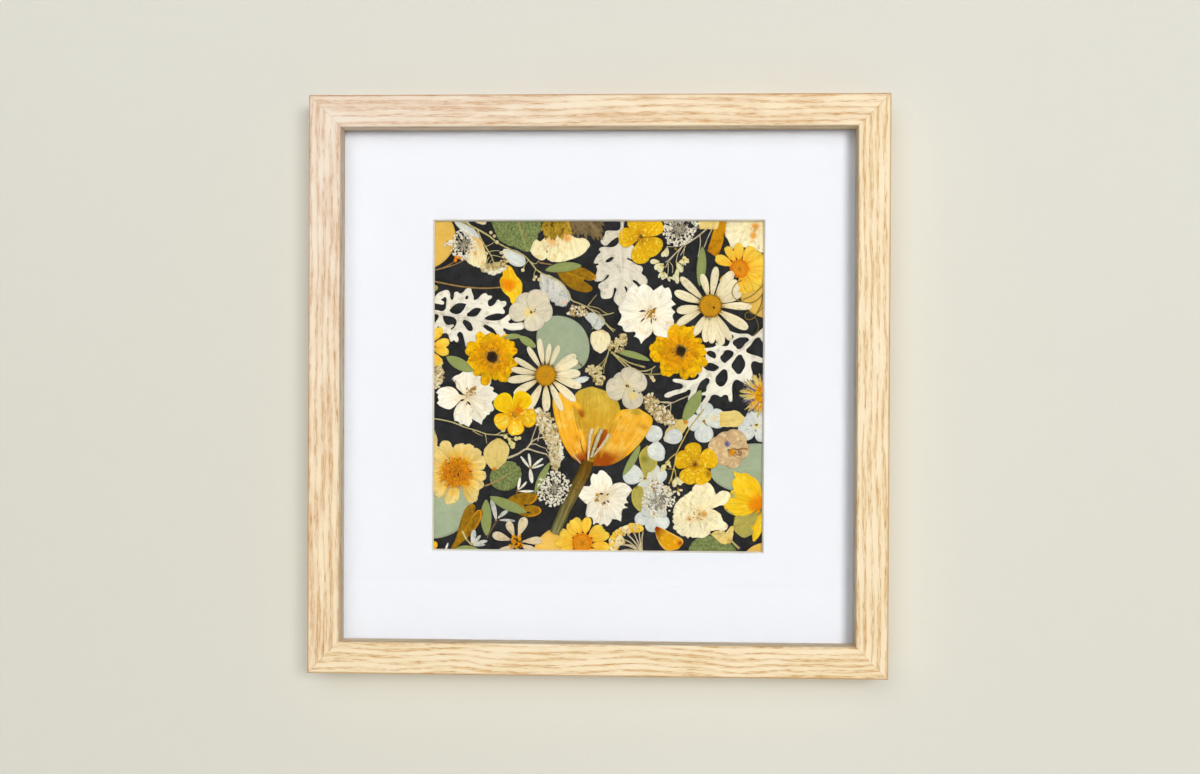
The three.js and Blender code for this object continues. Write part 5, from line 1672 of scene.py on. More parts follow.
TOP_LEAF_RIBS = [
    "13.4,87 5,87", "13.4,78 2.4,78", "13.3,77 0,72", "13.3,71 1,67", "13.3,68 0.6,61.4", "13.2,62 2.6,57",
    "13.2,60 5,52", "13.2,56 11,49", "13.3,78 20,78", "13.4,73 23.4,68.6", "13.4,69 26.4,61",
    "13.3,62 22,53", "13.2,58 17.6,48",
]


class FLOWERFRAME_OT_add_felted_leaves(bpy.types.Operator):
    """Adds the white, deeply cut felted leaves"""

    bl_idname = "flower_frame.add_felted_leaves"
    bl_label = "Felted leaves"

    def execute(self, context):
        for seed, leaf in records(FELTED_LEAVES, 141):
            name, node, layer, foot, tip, span, outline, holes, rib = leaf
            pressing = Pressing(layer, seed)
            pressing.cutout(outline, foot, tip, span=span, holes=holes, fan=False, wave=0.1)
            if node == "dusty_miller_top":
                pressing.stem(rib, 1.3, 0.5, coat=1)
                for start, end in numbers(TOP_LEAF_RIBS):
                    middle = ((start[0] + end[0]) / 2, (start[1] + end[1]) / 2 + 0.8)
                    pressing.stem([start, middle, end], 0.5, 0.2, coat=1)
                pressing.make(name, ("grey felt", "felted leaf"), "beige_petal", node)
            else:
                pressing.stem(rib, 0.9, 0.3)
                pressing.make(name, ("felted leaf",), "white_petal", node)
        return {"FINISHED"}


# ---- Yarrow and umbels ----

# name, node, layer, middle, half width, half height, florets, their size, share of the dark middle
UMBELS = [
    ("umbel at the top", "umbel_top", 0, 46.3, 90, 9.6, 9.2, 300, 0.62, 0.5),
    ("umbel at the bottom", "umbel_bottom", 2, -25, -59.5, 10.2, 10.4, 300, 0.62, 0.3),
    ("umbel in the upper left", None, 1.2, -78, 81, 7.6, 8.6, 200, 0.62, 0.55),
    ("umbel in the lower right", None, 1.6, 34, -65, 8.6, 10.2, 260, 0.66, 0.6),
]
# name, node, layer, line, widths along it, florets, their size, finishes, slot
YARROWS = [
    (
        "yarrow on the left", "yarrow_left", 0, "-36,-15.6 -31,-19.6 -27.4,-27 -24.6,-36 -24.4,-47",
        (7, 10, 9.6, 8, 4), 520, 1.0, (0, 0, 0, 1, 2), "tan_petal",
    ),
    (
        "yarrow on the right", None, 1, "30,-7 32,-12 37,-16.4 43,-21.6", (7, 9, 9, 5), 300, 0.95,
        (0, 1, 2, 0, 1), "tan_petal",
    ),
    (
        "small yarrow in the middle", None, 1.4, "-16,41.6 -12,44 -7.6,41.6", (3, 9, 4), 90, 0.8,
        (0, 1, 1, 2), "cream_petal",
    ),
    (
        "yarrow at the left edge", None, 0.6, "-93.4,12 -92.6,5 -94.6,-1", (9, 7, 5), 120, 1.0,
        (0, 0, 1, 2), "cream_petal",
    ),
    (
        "green yarrow in the middle", None, 1.6, "8,21.6 11.6,24 14.6,28", (6, 9, 4), 130, 0.8,
        (0, 0, 3, 1), "cream_petal",
    ),
    (
        "cream yarrow by the middle viola", None, 1.4, "-4.6,9.4 -0.6,6.4 0.4,1.6", (5, 10, 3.4), 140, 0.8,
        (0, 0, 3, 1), "cream_petal",
    ),
    (
        "cream yarrow in the upper left", None, 1.0, "-66.6,68 -60,67.6 -53.6,70", (4, 6, 5), 200, 0.95,
        (0, 1, 1, 3), "cream_petal",
    ),
]
# line, widths along it, florets, their size, finishes
MORE_FLORETS = {
    "umbel in the upper left": [("-88,81.6 -84,82.4", (3, 3), 14, 0.8, (0, 0, 3))],
    "umbel at the top": [
        ("55,93.6 57,91.6", (4, 3), 16, 0.8, (0, 0, 1)),
        ("40,82.6 45,81.4", (4, 4), 22, 0.8, (0, 0, 1)),
    ],
    "umbel in the lower right": [
        ("33,-54 33,-60", (5, 8), 30, 0.8, (0, 0, 3)),
        ("40,-58.6 43,-65 40,-71", (4, 3, 4), 36, 0.75, (0, 0, 1)),
    ],
    "cream yarrow in the upper left": [("-66,66.4 -60,64.8 -54.4,67.4", (2, 2, 2), 46, 0.8, (2,))],
    "yarrow on the left": [
        ("-38,-15 -33,-14.4", (3, 2), 20, 0.9, (2,)),
        ("-21.4,-34 -20.6,-42", (2.4, 2.4), 30, 0.9, (2,)),
    ],
}
ORANGE_YARROW_HEADS = "9.5,-93 9,-89 11,-85.6 14.4,-83.2 18,-82 10.4,-96.6 13,-89 21,-81 23.4,-81.4"


def umbel(pressing, x, z, wide, high, count, size, inner):
    """A flat head of tiny florets, darker in its middle, on thin rays."""
    for i in range(14):
        angle = math.tau * i / 14 + pressing.dice.uniform(-0.15, 0.15)
        out = pressing.dice.uniform(0.55, 0.9)
        end = around(x, z, wide * out, angle, high / wide)
        pressing.stem([(x, z), end], 0.35, 0.25, coat=2, rows=2)
    for i in range(count):
        angle = pressing.dice.uniform(0, math.tau)
        out = math.sqrt(pressing.dice.random())
        coat = 1 if out < inner * pressing.dice.uniform(0.7, 1.3) else 0
        spot = around(x, z, wide * out, angle, high / wide)
        pressing.floret(*spot, size * pressing.dice.uniform(0.75, 1.15), 5, 0.8, coat)
        if i % 4 == 0:
            pressing.floret(*spot, size * 0.33, 3, 0.9, coat=3)


def cluster(pressing, path, widths, count, size, choices):
    """Florets packed along a line, as wide as the given widths."""
    for _ in range(count):
        place = pressing.dice.random()
        span = place * (len(widths) - 1)
        start = min(int(span), len(widths) - 2)
        width = widths[start] + (widths[start + 1] - widths[start]) * (span - start)
        spot = on_path(path, place)
        angle = pressing.dice.uniform(0, math.tau)
        out = width / 2 * math.sqrt(pressing.dice.random())
        size_here = size * pressing.dice.uniform(0.6, 1.15)
        pressing.floret(*around(*spot, out, angle), size_here, 5, 0.75, pressing.dice.choice(choices))


class FLOWERFRAME_OT_add_flower_heads(bpy.types.Operator):
    """Adds the yarrow, the umbels and the thistle"""

    bl_idname = "flower_frame.add_flower_heads"
    bl_label = "Yarrow and umbels"

    def execute(self, context):
        lace = ("white floret", "grey floret", "pale stem", "tan floret")
        for seed, (name, node, layer, *shape) in records(UMBELS, 151):
            pressing = Pressing(layer, seed, step=FLORET_STEP)
            umbel(pressing, *shape)
            for more in numbers(MORE_FLORETS.get(name, [])):
                cluster(pressing, *more)
            pressing.make(name, lace, "white_petal", node)
        mix = ("cream floret", "tan floret", "white floret", "lemon floret")
        for seed, (name, node, layer, path, widths, count, size, choices, slot) in records(YARROWS, 161):
            pressing = Pressing(layer, seed, step=FLORET_STEP)
            cluster(pressing, path, widths, count, size, choices)
            for more in numbers(MORE_FLORETS.get(name, [])):
                cluster(pressing, *more)
            pressing.make(name, mix, slot, node)
        self.add_orange_yarrow()
        self.add_thistle()
        return {"FINISHED"}

    def add_orange_yarrow(self):
        """The forked head of orange and cream florets at the bottom edge."""
        pressing = Pressing(0.6, 171, step=YARROW_STEP)
        shape = dict(belly=0.72, blunt=0.4, foot=0.25, wave=0.06, columns=6, rows=8)
        root = (26, -96)
        heads = numbers(ORANGE_YARROW_HEADS)
        for x, z in heads:
            halfway = ((root[0] + x) / 2 + 1, (root[1] + z) / 2 + 0.6)
            pressing.stem([root, halfway, (x + 3, z - 2)], 0.8, 0.7, coat=1)
        for x, z in heads:
            turn = math.degrees(math.atan2(z + 91, x - 18.5))
            foot = around(x, z, -3.2, math.radians(turn))
            for spread in (-26, 0, 26):
                pressing.blade(*foot, turn + spread, 5.6, 3.2, coat=pressing.dice.choice((0, 0, 2)), **shape)
            specks(pressing, x, z, 4, 0.2, 1.8, 0.5, 3)
        paints = ("cream petal", "pale stem", "orange petal", "tan floret")
        pressing.make("orange and cream yarrow", paints, "cream_petal")

    def add_thistle(self):
        """The half thistle head at the right edge, spines outside and florets inside."""
        pressing = Pressing(1, 172, step=SPINE_STEP)
        x, z = 95, -5
        for i in range(80):
            angle = math.radians(pressing.dice.uniform(95, 262))
            reach = pressing.dice.uniform(10, 14.2)
            start = around(x, z, 5, angle)
            end = around(x, z, reach, angle, 0.95)
            pressing.stem([start, end], 1.2, 0.6, coat=1 if i % 3 else 2, rows=3)
        for _ in range(90):
            turn = pressing.dice.uniform(60, 300)
            length = pressing.dice.uniform(4, 7)
            foot = around(x, z, pressing.dice.uniform(0, 5), math.radians(turn))
            pressing.blade(*foot, turn, length, 1.4, belly=0.5, blunt=0.8, columns=4, rows=5, coat=0)
        specks(pressing, x, z, 70, 2.0, 9.0, 0.6, 3)
        paints = ("chrysanthemum petal", "thistle spine", "grey spine", "orange fringe")
        pressing.make("thistle head", paints, "gold_petal")


# ---- Stems and twigs ----

# name, layer, finish, slot, lines with their widths, finish of the buds, buds (x, z, radius)
TWIGS = [
    (
        "long twig in the upper left", 2, "straw stem", "green_leaf",
        [
            ("-84,97 -80,95 -73,91.5 -70,90 -63,86 -58,82 -50,78 -44,75.5 -40,72 -36,67 -33,65", 1.5, 1.0),
            (
                "-38,70 -36,67 -32,64.4 -24,61 -20,58 -17,53 -15,49 -10,47 -6,45 -2,42 2,39 5,35 9,31", 0.9,
                0.8,
            ),
            ("-70,90 -67,83 -62,75 -60,70 -58.6,66.6", 1.0, 0.7), ("-65,80 -62.5,81 -60,82.5", 0.5, 0.4),
            ("-63,77 -60,77.6 -57,77.5", 0.5, 0.4), ("-62,75 -58.6,74.6 -55,73.5", 0.5, 0.4),
            ("-63,74 -64,72 -64.5,69.5", 0.5, 0.4), ("-60.4,71 -57,70 -55,68", 0.5, 0.4),
            ("-61,73 -63,70 -62.4,67", 0.5, 0.4), ("-40,72 -42,70 -43.5,66.5", 0.5, 0.4),
            ("-36,67 -37,64 -37,61", 0.6, 0.4), ("-40,72 -36.6,70 -34,72", 0.5, 0.4),
            ("-6,46 -3.6,49 -1,52.3", 0.7, 0.4), ("-6,46 0,44.6 3,42.6 6,41", 0.7, 0.5),
            ("2,40.5 5,41 9,42", 0.6, 0.6), ("-4,44 0,42.4 2,40 2,36", 0.6, 0.5),
            ("0,39 -1.6,35 -3.6,32.4", 0.6, 0.4), ("4,36.6 7,33.6 10,32", 0.6, 0.5),
        ],
        "cream floret",
        "-62,88,1 -60,86,0.9 -58.5,82.5,1.1 -43.5,66.5,1.1 -37,61,0.9 -36,62.5,0.9 -34,61,1.1 -64.6,76,1.1 "
        "-56,76.4,1 -54.6,74,0.9",
    ),
    (
        "twig in the upper right", 0.7, "pale stem", "tan_petal",
        [
            ("63,91 57,86 52,82.5 48,80 44,76 40,71 38.5,68", 1.0, 0.7),
            ("58,87 58.4,83 58,79 57,74", 0.8, 0.5), ("65.4,91 62.6,85 60.5,79.6", 0.9, 0.6),
            ("48,80 45.6,76 44.5,71", 0.6, 0.5), ("50,80.5 48.4,77.4 47,75", 0.6, 0.4),
            ("49.4,79 48.8,75.6 49,72.5", 0.5, 0.4), ("44,76 41,73 38.4,71", 0.6, 0.5),
            ("41,71 42.6,68.6 42.5,65", 0.6, 0.4), ("40,70 40,66 39.5,62.4", 0.6, 0.4),
            ("49,72 48.6,69 48.6,67", 0.5, 0.3), ("39,80 45,80 50,81.6", 0.4, 0.4),
        ],
        "lemon floret", "48,71.4,1.4 50.6,72,1.4 49.2,73.4,1.2",
    ),
    (
        "twig over the lower left", 1.4, "straw stem", "green_leaf",
        [
            ("-97,-18.8 -85,-21 -77,-24 -70,-26 -64,-28 -57,-28.5 -52,-29.5", 0.9, 0.7),
            ("-72,-26 -69.4,-27.8 -66.4,-29", 0.9, 0.4), ("-65,-28 -64.4,-30 -64,-33.4", 0.6, 0.4),
            ("-58,-28 -56,-27 -54,-25.5", 0.6, 0.5), ("-57,-28.5 -53,-28 -49,-27.5", 0.5, 0.4),
            ("-53,-29 -50,-30.6 -46,-30.6", 0.5, 0.4),
        ],
        "lemon floret",
        "-54.5,-25.5,1.4 -49,-27.5,1.5 -53,-29.5,1.2 -47,-30.5,1.3 -50,-33,1.5 -49,-35,1.4 -45,-30.2,1 "
        "-51,-31,1 -48.4,-33.6,1.1",
    ),
    (
        "yarrow stalk on the left", 0.8, "pale stem", "tan_petal",
        [
            ("-52,-41.8 -46,-39.4 -41,-36.5 -35,-38 -29,-39.6", 1.6, 0.9),
            ("-41,-36.4 -38.4,-33 -36,-31 -31,-29.5", 1.2, 0.6), ("-36,-33.5 -33,-35 -30,-36", 0.7, 0.6),
            ("-38.5,-33 -37,-28 -35,-22.6", 0.9, 0.6), ("-34.5,-32 -34,-29 -33,-25", 0.6, 0.5),
            ("-31.5,-30 -31,-28 -30.6,-25.6", 0.6, 0.5), ("-29.6,-39.4 -27.6,-42 -26.6,-45", 0.8, 0.5),
            ("-30,-36 -28.4,-38.4 -26,-39.6", 0.6, 0.5), ("-39.4,-34 -36,-33.6 -33,-35", 0.7, 0.6),
        ],
        None, [],
    ),
    (
        "yarrow stalk on the right", 0.8, "pale stem", "tan_petal",
        [
            ("34,-9 42,-9.6 47,-7.6 52.4,-5.4", 0.8, 0.7), ("42,-9.5 41.8,-13 41.5,-17", 0.7, 0.5),
            ("42,-10 39.6,-11.6 37,-13", 0.7, 0.5), ("43,-9.6 40,-9 36,-9", 0.6, 0.5),
        ],
        None, [],
    ),
    (
        "stalks in the middle", 1.8, "straw stem", "green_leaf",
        [
            ("6.4,21 5,16 3,12 0.6,8", 0.9, 0.5), ("5.4,17.6 2,13 -2.6,10", 0.5, 0.4),
            ("5,15 3.6,11 3.4,7", 0.5, 0.4), ("8,19.5 14,14.5 20,10 25,8.5 30,9.5 33,11.5", 1.2, 0.8),
            ("8.6,18.6 12,15 16,11", 1.0, 0.8), ("10,18 18,13.5 27,10.8", 0.7, 1.4),
            ("26,7 31,6.8 36.6,7", 0.8, 0.9), ("31,9.6 30.6,7.6 29.6,5.6", 0.6, 0.5),
            ("29,7 30.4,4.4 31.6,2.6", 0.6, 0.5),
        ],
        "cream floret", "31,5,1.2 32,3.4,1.1",
    ),
    (
        "stalk over the hydrangeas", 2.6, "yellow stem", "tan_petal",
        [
            ("61,-13 58,-17 53,-23.5 49.5,-30 46,-37 45,-40 44,-46 42.5,-52 41,-56", 0.9, 0.7),
            ("45,-38.5 41,-42 39,-46 37,-48.5", 0.8, 0.6), ("40.4,-47.4 42,-47.5 44,-47.5", 0.5, 0.5),
            ("44,-47 44.8,-49.6 45,-52", 0.7, 0.5), ("43,-50 42.6,-53 43.2,-56", 0.5, 0.4),
        ],
        "lemon floret", "38,-46.5,1.6 40.5,-44,1.4 37,-48,1.2",
    ),
    (
        "tan stem in the upper left", 0.3, "tan stem", "tan_petal",
        [("-98,60.6 -85,58 -75,56.5 -65,56 -55,56.6", 1.2, 1.1)], None, [],
    ),
    (
        "brown stem with a golden bud", 1.4, "tan stem", "tan_petal",
        [("-98,65.6 -88,68 -82,70 -76,73", 0.8, 0.6), ("-90,67.6 -86,69.6 -82.6,71.6", 0.6, 0.5)],
        "orange fringe", "-82.6,72,1 -82,73.8,1.2 -80,73.6,1",
    ),
    (
        "curling tendril", 3.6, "tendril", "green_leaf",
        [
            ("82,60.6 79,59 77,56 76.6,53.6 78,50.6 81.6,48.6 86,47.8 90,49 94,53 97,61", 0.7, 0.7),
            ("97,61 92,55.6 88,52 83,49.8", 0.6, 0.6),
            ("94,52.6 93.6,48 92,44 90,40 91.4,36 91.4,32 88.6,29", 0.6, 0.5),
            ("90,40 87,38.2 84.4,39 84.2,41.6 86.6,42.6 88.4,41", 0.6, 0.5),
            ("97,48 94,45 91.4,42", 0.6, 0.4),
        ],
        None, [],
    ),
    (
        "stalk of the small white flower", 0.4, "brown stem", "tan_petal",
        [("-58.6,-79 -61,-83 -63.6,-88", 0.6, 0.5), ("-46,-61 -48,-64 -51,-66.6", 0.5, 0.4)], None, [],
    ),
]
# foot, direction, length, width
TWIG_FLOWERS = (
    "39.4,79.6,-100,5.6,3.4 38.6,78,-120,4.4,2.6 35,71.4,180,5.4,3 37.6,70,200,6,3.2 36.6,70,250,5,3.6 "
    "38,68.4,190,6,2.6 36.6,65.4,-85,4.6,2 37.4,65.6,-60,4,1.8 36.2,65.6,-115,4,1.6 39.6,62.6,-60,3,1.4 "
    "40.2,62.6,-20,2.8,1.2 39.4,62.6,200,2.8,1.2 44.8,71,-60,6.6,3.4 45.4,68,-96,6,2.6 "
    "44.6,65,-110,4.6,2.6 44.6,66,-84,7.4,2.8 49,72,-20,3.2,1.3 49,72,200,3.2,1.3 49,72,-70,3,1.2 "
    "49,72,240,2.8,1.1 45.4,-52,-60,5.4,3.4 45,-52.4,-100,5.6,3 46.8,-54,-20,3,2.2 46,-60,-70,3,1.6 "
    "45.6,-60,200,2.6,1.4 46.6,-59.6,0,2.4,1.4 39.4,-44.4,-120,5,2.4 41,-44,-70,3,1.2"
)


class FLOWERFRAME_OT_add_twigs(bpy.types.Operator):
    """Adds the stems, twigs and tendrils with their buds"""

    bl_idname = "flower_frame.add_twigs"
    bl_label = "Stems and twigs"

    def execute(self, context):
        for seed, (name, layer, coat, slot, lines, bud_coat, buds) in records(TWIGS, 181):
            pressing = Pressing(layer, seed, step=TWIG_STEP)
            for points, width, end_width in lines:
                pressing.stem(points, 0.75 * width, 0.75 * end_width)
            for x, z, radius in buds:
                pressing.heart(x, z, radius, 0.14, columns=10, rings=3)
            pressing.make(name, (coat, bud_coat) if bud_coat else (coat,), slot)
        self.add_twig_flowers()
        return {"FINISHED"}

    def add_twig_flowers(self):
        """The small lemon flowers hanging from the upper right and right twigs."""
        pressing = Pressing(1, 195)
        shape = dict(belly=0.62, blunt=0.5, foot=0.3, wave=0.08, columns=4, rows=6)
        for x, z, turn, length, width in numbers(TWIG_FLOWERS):
            pressing.blade(x, z, turn, length, width, **shape)
        for x, z in ((44.2, 78.6), (49, 72.4), (46.4, -59), (39.4, -44)):
            pressing.floret(x, z, 0.8, 5, 0.6, coat=1)
        pressing.make("lemon florets", ("lemon leaflet", "stamen"), "cream_petal")


# ---- Loose petals ----

# outline, foot, tip, width
CRUMPLED_PETAL = [
    (
        "-54.3,68.2 -51.5,69 -48.8,66.1 -47.5,63.4 -44.8,60.6 -43.7,56.5 -44.6,52.5 -47.5,47.4 -49.7,47.3 "
        "-51.1,50.6 -54.3,53.4 -56.6,57.9 -56.5,61.5 -54.2,64.3 -54.8,66.5",
        (-55, 72), (-48.4, 47), 16,
    ),
    ("-54.4,68 -52,68.6 -50.6,64 -50.4,58 -51.2,53 -53.6,54.4 -55.6,58 -55,62", (-54, 72), (-51, 50), 12),
]
# name, layer, finish, slot, stains, and the left and right edge of each sheet
SHEET_PETALS = [
    (
        "crumpled white flower", 0.9, "ash petal", "white_petal", "-19.6,48,2,1.2",
        [
            ("-33.4,64.6 -34,59 -32.6,54 -29,49.4", "-28,63.6 -22,60 -17.6,55 -16,50"),
            ("-27,62 -29.4,55 -27,48.6", "-20,58 -16,52 -18.6,45.6"),
            ("-24,56 -26,51 -24.6,46.4", "-17,54 -15.8,49.6 -20,45.4"),
        ],
    ),
    (
        "cream bud in the middle", 0.8, "carnation petal", "cream_petal", "2,24,5,0.25",
        [("2,32.4 -3.4,30.6 -4.4,26 -2.6,21", "3,32.2 6.8,29 6.6,23 1.6,18.6")],
    ),
    (
        "ochre petal in the upper right", 0.6, "ochre petal", "ochre_leaf", [],
        [
            ("68,97 66,90 63.8,82 62.4,77.6", "73,97 72.6,90 70.6,80 68,73.6"),
            ("66,84 63.4,80 62.4,77.4", "69,84 68,79 66.4,76.4"),
        ],
    ),
    (
        "oval leaf in the lower left", 1.2, "straw petal", "tan_petal", "-59.5,-48.8,2.6,1.2",
        [
            (
                "-58,-30.4 -63,-33.6 -66,-39 -63.4,-45.6 -60.4,-49",
                "-56,-30.6 -52,-34 -51,-39 -54,-45 -59,-49.2",
            ),
        ],
    ),
    (
        "pale leaf beside the hydrangea", 0.3, "straw petal", "tan_petal", "85,-19,3,0.4",
        [("70,-14.6 75,-14.2 80,-14 84,-17.4 86.2,-20.6", "70,-23 75,-23.2 80,-23 84,-22.2 86.4,-21")],
    ),
    (
        "olive petal in the lower right", 0.2, "olive petal", "green_leaf", "27,-42,4,0.8",
        [("28.5,-34 24.6,-38 24,-43 26.2,-50 27,-53", "32,-35 34,-40 34,-46 30,-50 28,-53")],
    ),
    (
        "pale olive petal", 0.3, "olive petal", "green_leaf", "22.4,-58,1.8,1",
        [("23,-57 20,-60 20,-66 23,-71 28,-73.6", "26,-58 27,-62 28,-68 29,-71 30,-72.4")],
    ),
    (
        "orange-red petal", 1, "ember petal", "orange_petal", "35,-81.6,3.4,0.7 47.6,-90,2.6,0.7",
        [("34,-80.4 38,-81.8 44,-85 48.6,-87.4 49.4,-90", "33,-82 34.4,-87.6 37,-92 41,-94.8 47,-93")],
    ),
    (
        "straw petals by the right yarrow", 0.7, "straw petal", "tan_petal", "50.4,-20.6,2,1",
        [
            ("51,-18.4 46,-19.4 44.6,-23 47.6,-27", "52.4,-20.4 51,-23.6 49.6,-26 48.4,-27.4"),
            ("45,-18.6 42,-22 39,-26 38.4,-30", "47,-20 45,-23 43,-26 40.6,-29"),
        ],
    ),
    (
        "ochre petal at the left edge", 0.2, "straw petal", "tan_petal", [],
        [("-98,-24 -97,-33 -98,-42", "-95,-24.6 -92.4,-32 -95,-41")],
    ),
    (
        "pale yellow petal at the top", 0.9, "straw petal", "tan_petal", [],
        [("57.2,99 57,94 58,90", "68.8,99 69,94 68,90")],
    ),
    (
        "ragged cream flower", 0.7, "cream petal", "cream_petal", "-71,76,2,0.8",
        [
            ("-73,86 -75.6,78 -74.6,70", "-67,84 -66,76 -67,67.4"),
            ("-70,84 -70.6,76 -70,68", "-66,80 -64.4,74 -65.6,68"),
            ("-74,80 -76.6,75 -75.6,71", "-70,80 -71,74 -71.4,68.4"),
        ],
    ),
    (
        "pale petal in the upper left corner", 0.4, "bluish petal", "bluish_petal", [],
        [("-86,97 -80,90 -74,82 -71,77", "-76,95 -70,88 -67.6,82 -67,78")],
    ),
    (
        "white scrap at the top edge", 0.5, "cream petal", "cream_petal", [],
        [("-76,98 -70,93.6 -65.4,92.6", "-74,99 -68,98 -64,96")],
    ),
    (
        "bud with its leaves", 1.2, "straw petal", "tan_petal", "75.6,-88,3,0.6",
        [
            ("76.6,-80 73.6,-84 70,-88 71,-90", "78.2,-80 78,-85 77,-89 73.6,-90.4"),
            ("65,-84.8 68,-87.4 69.4,-89", "68,-82.6 73.6,-83.4 75.4,-86"),
        ],
    ),
    (
        "grey scrap behind the left daisy", 0.8, "bluish petal", "bluish_petal", [],
        [("-19,2 -13,4 -9,5.4 -5,5", "-17,-0.6 -12,1 -8,2 -5.6,3.4")],
    ),
]
# name, layer, finish, slot, petals (foot, direction, length, width)
BLADE_PETALS = [
    ("white oval petal", 0.9, "bluish petal", "bluish_petal", "-55,78,-36,15,8.6"),
    ("bluish petals in the middle", 0.9, "bluish petal", "bluish_petal", "-8,41,-22,13,7 -4,40,-52,9,6"),
    (
        "hydrangea petal by the right yarrow", 0.5, "bluish petal", "bluish_petal",
        "28,-23.5,-40,10.6,9.4 32,-24,-95,8,8",
    ),
    (
        "hydrangea petals below the right yarrow", 0.55, "bluish petal", "bluish_petal",
        "33.6,-31.6,-88,10.8,10.4 32,-42,40,7,8 28.6,-36,-10,8,9",
    ),
    ("pointed hydrangea petal", 1.2, "bluish petal", "bluish_petal", "38,-30.6,18,11,9"),
    (
        "white petals below the low floret", 0.6, "bluish petal", "bluish_petal",
        "30,-53,-50,9,9 27,-60,-20,10,9 28,-67,-70,8,8 33,-50,-20,7,8",
    ),
    ("beige petal in the lower right", 1.2, "carnation petal", "cream_petal", "39,-57,-72,7,5"),
    ("orange scrap in the corner", 0.2, "amber petal", "orange_petal", "-97,-95,45,6,4.4"),
    ("white sliver", 0.2, "white leaflet", "white_petal", "-88,-97,78,6.4,1.2"),
    ("olive scrap", 0.2, "olive petal", "green_leaf", "-98,56,0,5.4,3.6"),
    (
        "first narrow white flower", 0.6, "white leaflet", "white_petal",
        "-38.6,-47,96,8,1.6 -39,-47.4,132,8.6,1.5 -39.4,-47.2,124,6.8,1.2 -38,-47.2,43,8.6,1.5 "
        "-38,-47.6,14,7.4,1.2 -38.8,-47.6,-86,8.6,2.4",
    ),
    (
        "second narrow white flower", 0.6, "white leaflet", "white_petal",
        "-45.8,-60.4,82,7.6,1.5 -45.4,-60,40,6.6,1.3 -45.6,-60.8,-2,9,1.4 -45.8,-60,88,4,1.2",
    ),
    (
        "third narrow white flower", 0.6, "ash petal", "white_petal",
        "-58.4,-77.6,98,12.4,2.8 -57.4,-76.4,42,7.6,2.2 -56.4,-77.6,2,9,1.6 -57,-76.6,52,5,1.4",
    ),
    (
        "fourth narrow white flower", 1.6, "ash petal", "white_petal",
        "-72.4,-91.4,76,8.4,3 -72,-91.6,44,7,1.8 -71.6,-92,22,8.6,2.2 -71.6,-92.4,4,7,1.4",
    ),
]


class FLOWERFRAME_OT_add_loose_petals(bpy.types.Operator):
    """Adds the loose petals, buds and scraps between the flowers"""

    bl_idname = "flower_frame.add_loose_petals"
    bl_label = "Loose petals"

    def execute(self, context):
        crumpled = Pressing(1.2, 199, stains="-53,59,6,0.7 -50,56.6,5,0.6 -46,60,3,0.4")
        for outline, foot, tip, span in numbers(CRUMPLED_PETAL):
            crumpled.cutout(outline, foot, tip, span=span, fan=False, tooth=0.1, wave=0.3)
        crumpled.make("crumpled yellow petal", ("bright petal",), "yellow_petal")
        for seed, (name, layer, coat, slot, stains, sheets) in records(SHEET_PETALS, 201):
            pressing = Pressing(layer, seed, stains=stains)
            for left, right in sheets:
                pressing.loft(left, right, tooth=0.2, wave=0.14, columns=12, rows=16)
            if name == "bud with its leaves":
                pressing.stem("76,-87.4 79,-90.6 81.6,-92.8", 1.0, 1.5, coat=1)
                pressing.stem("74,-84 68,-84.6 64.6,-84.6", 0.5, 0.4, coat=1)
            pressing.make(name, (coat, "straw stem"), slot)

        shape = dict(belly=0.58, blunt=0.46, foot=0.25, wave=0.08, columns=10)
        for seed, (name, layer, coat, slot, petals) in records(BLADE_PETALS, 231):
            pressing = Pressing(layer, seed)
            for x, z, turn, length, width in petals:
                pressing.blade(x, z, turn, length, width, bend=pressing.dice.uniform(-12, 12), **shape)
            if name == "fourth narrow white flower":
                pressing.stem("-78,-84 -76,-88 -74.4,-90 -72.2,-92", 1.1, 0.9, coat=1)
            if "narrow white" in name:
                x, z = petals[0][:2]
                pressing.heart(x, z - 0.2, 0.8, 0.1, coat=2, columns=10, rings=3)
            pressing.make(name, (coat, "straw stem", "brown stem"), slot)
        return {"FINISHED"}


# ---- The wall, floor, lights and camera ----


def one_sided_paint(name, body, darker):
    """A plain surface that shows only its front."""
    look = Shading(name, roughness=0.95, specular=0.1)
    places = look.places((1, 1, 1))
    cloud = look.grain(places, 1.4, 2.0)
    fine = look.grain(places, 900.0, 3.0)
    colour = look.mix(look.fade(cloud, 0.3, 0.7, 0.0, 0.2), body, darker)
    look.surface("Base Color", look.mix(look.fade(fine, 0.3, 0.7, 0.0, 0.12), colour, darker))
    facing = look.add("NewGeometry").outputs["Backfacing"]
    clear = look.add("BsdfTransparent").outputs[0]
    both = look.add("MixShader", {0: facing, 1: look.shader.outputs[0], 2: clear}).outputs[0]
    output = next(node for node in look.tree.nodes if node.type == "OUTPUT_MATERIAL")
    look.feed(output.inputs["Surface"], both)
    return look.material


def stage_plane(name, size, matrix, material):
    """A flat sheet of the surroundings, which the export leaves out."""
    mesh = bmesh.new()
    bmesh.ops.create_grid(mesh, x_segments=1, y_segments=1, size=0.5)
    bmesh.ops.scale(mesh, vec=(*size, 1.0), verts=mesh.verts)
    bmesh.ops.transform(mesh, matrix=matrix, verts=mesh.verts)
    data = bpy.data.meshes.new(name)
    mesh.to_mesh(data)
    mesh.free()
    data.materials.append(material)
    plane = bpy.data.objects.new(name, data)
    bpy.context.scene.collection.objects.link(plane)
    plane.visible_shadow = False


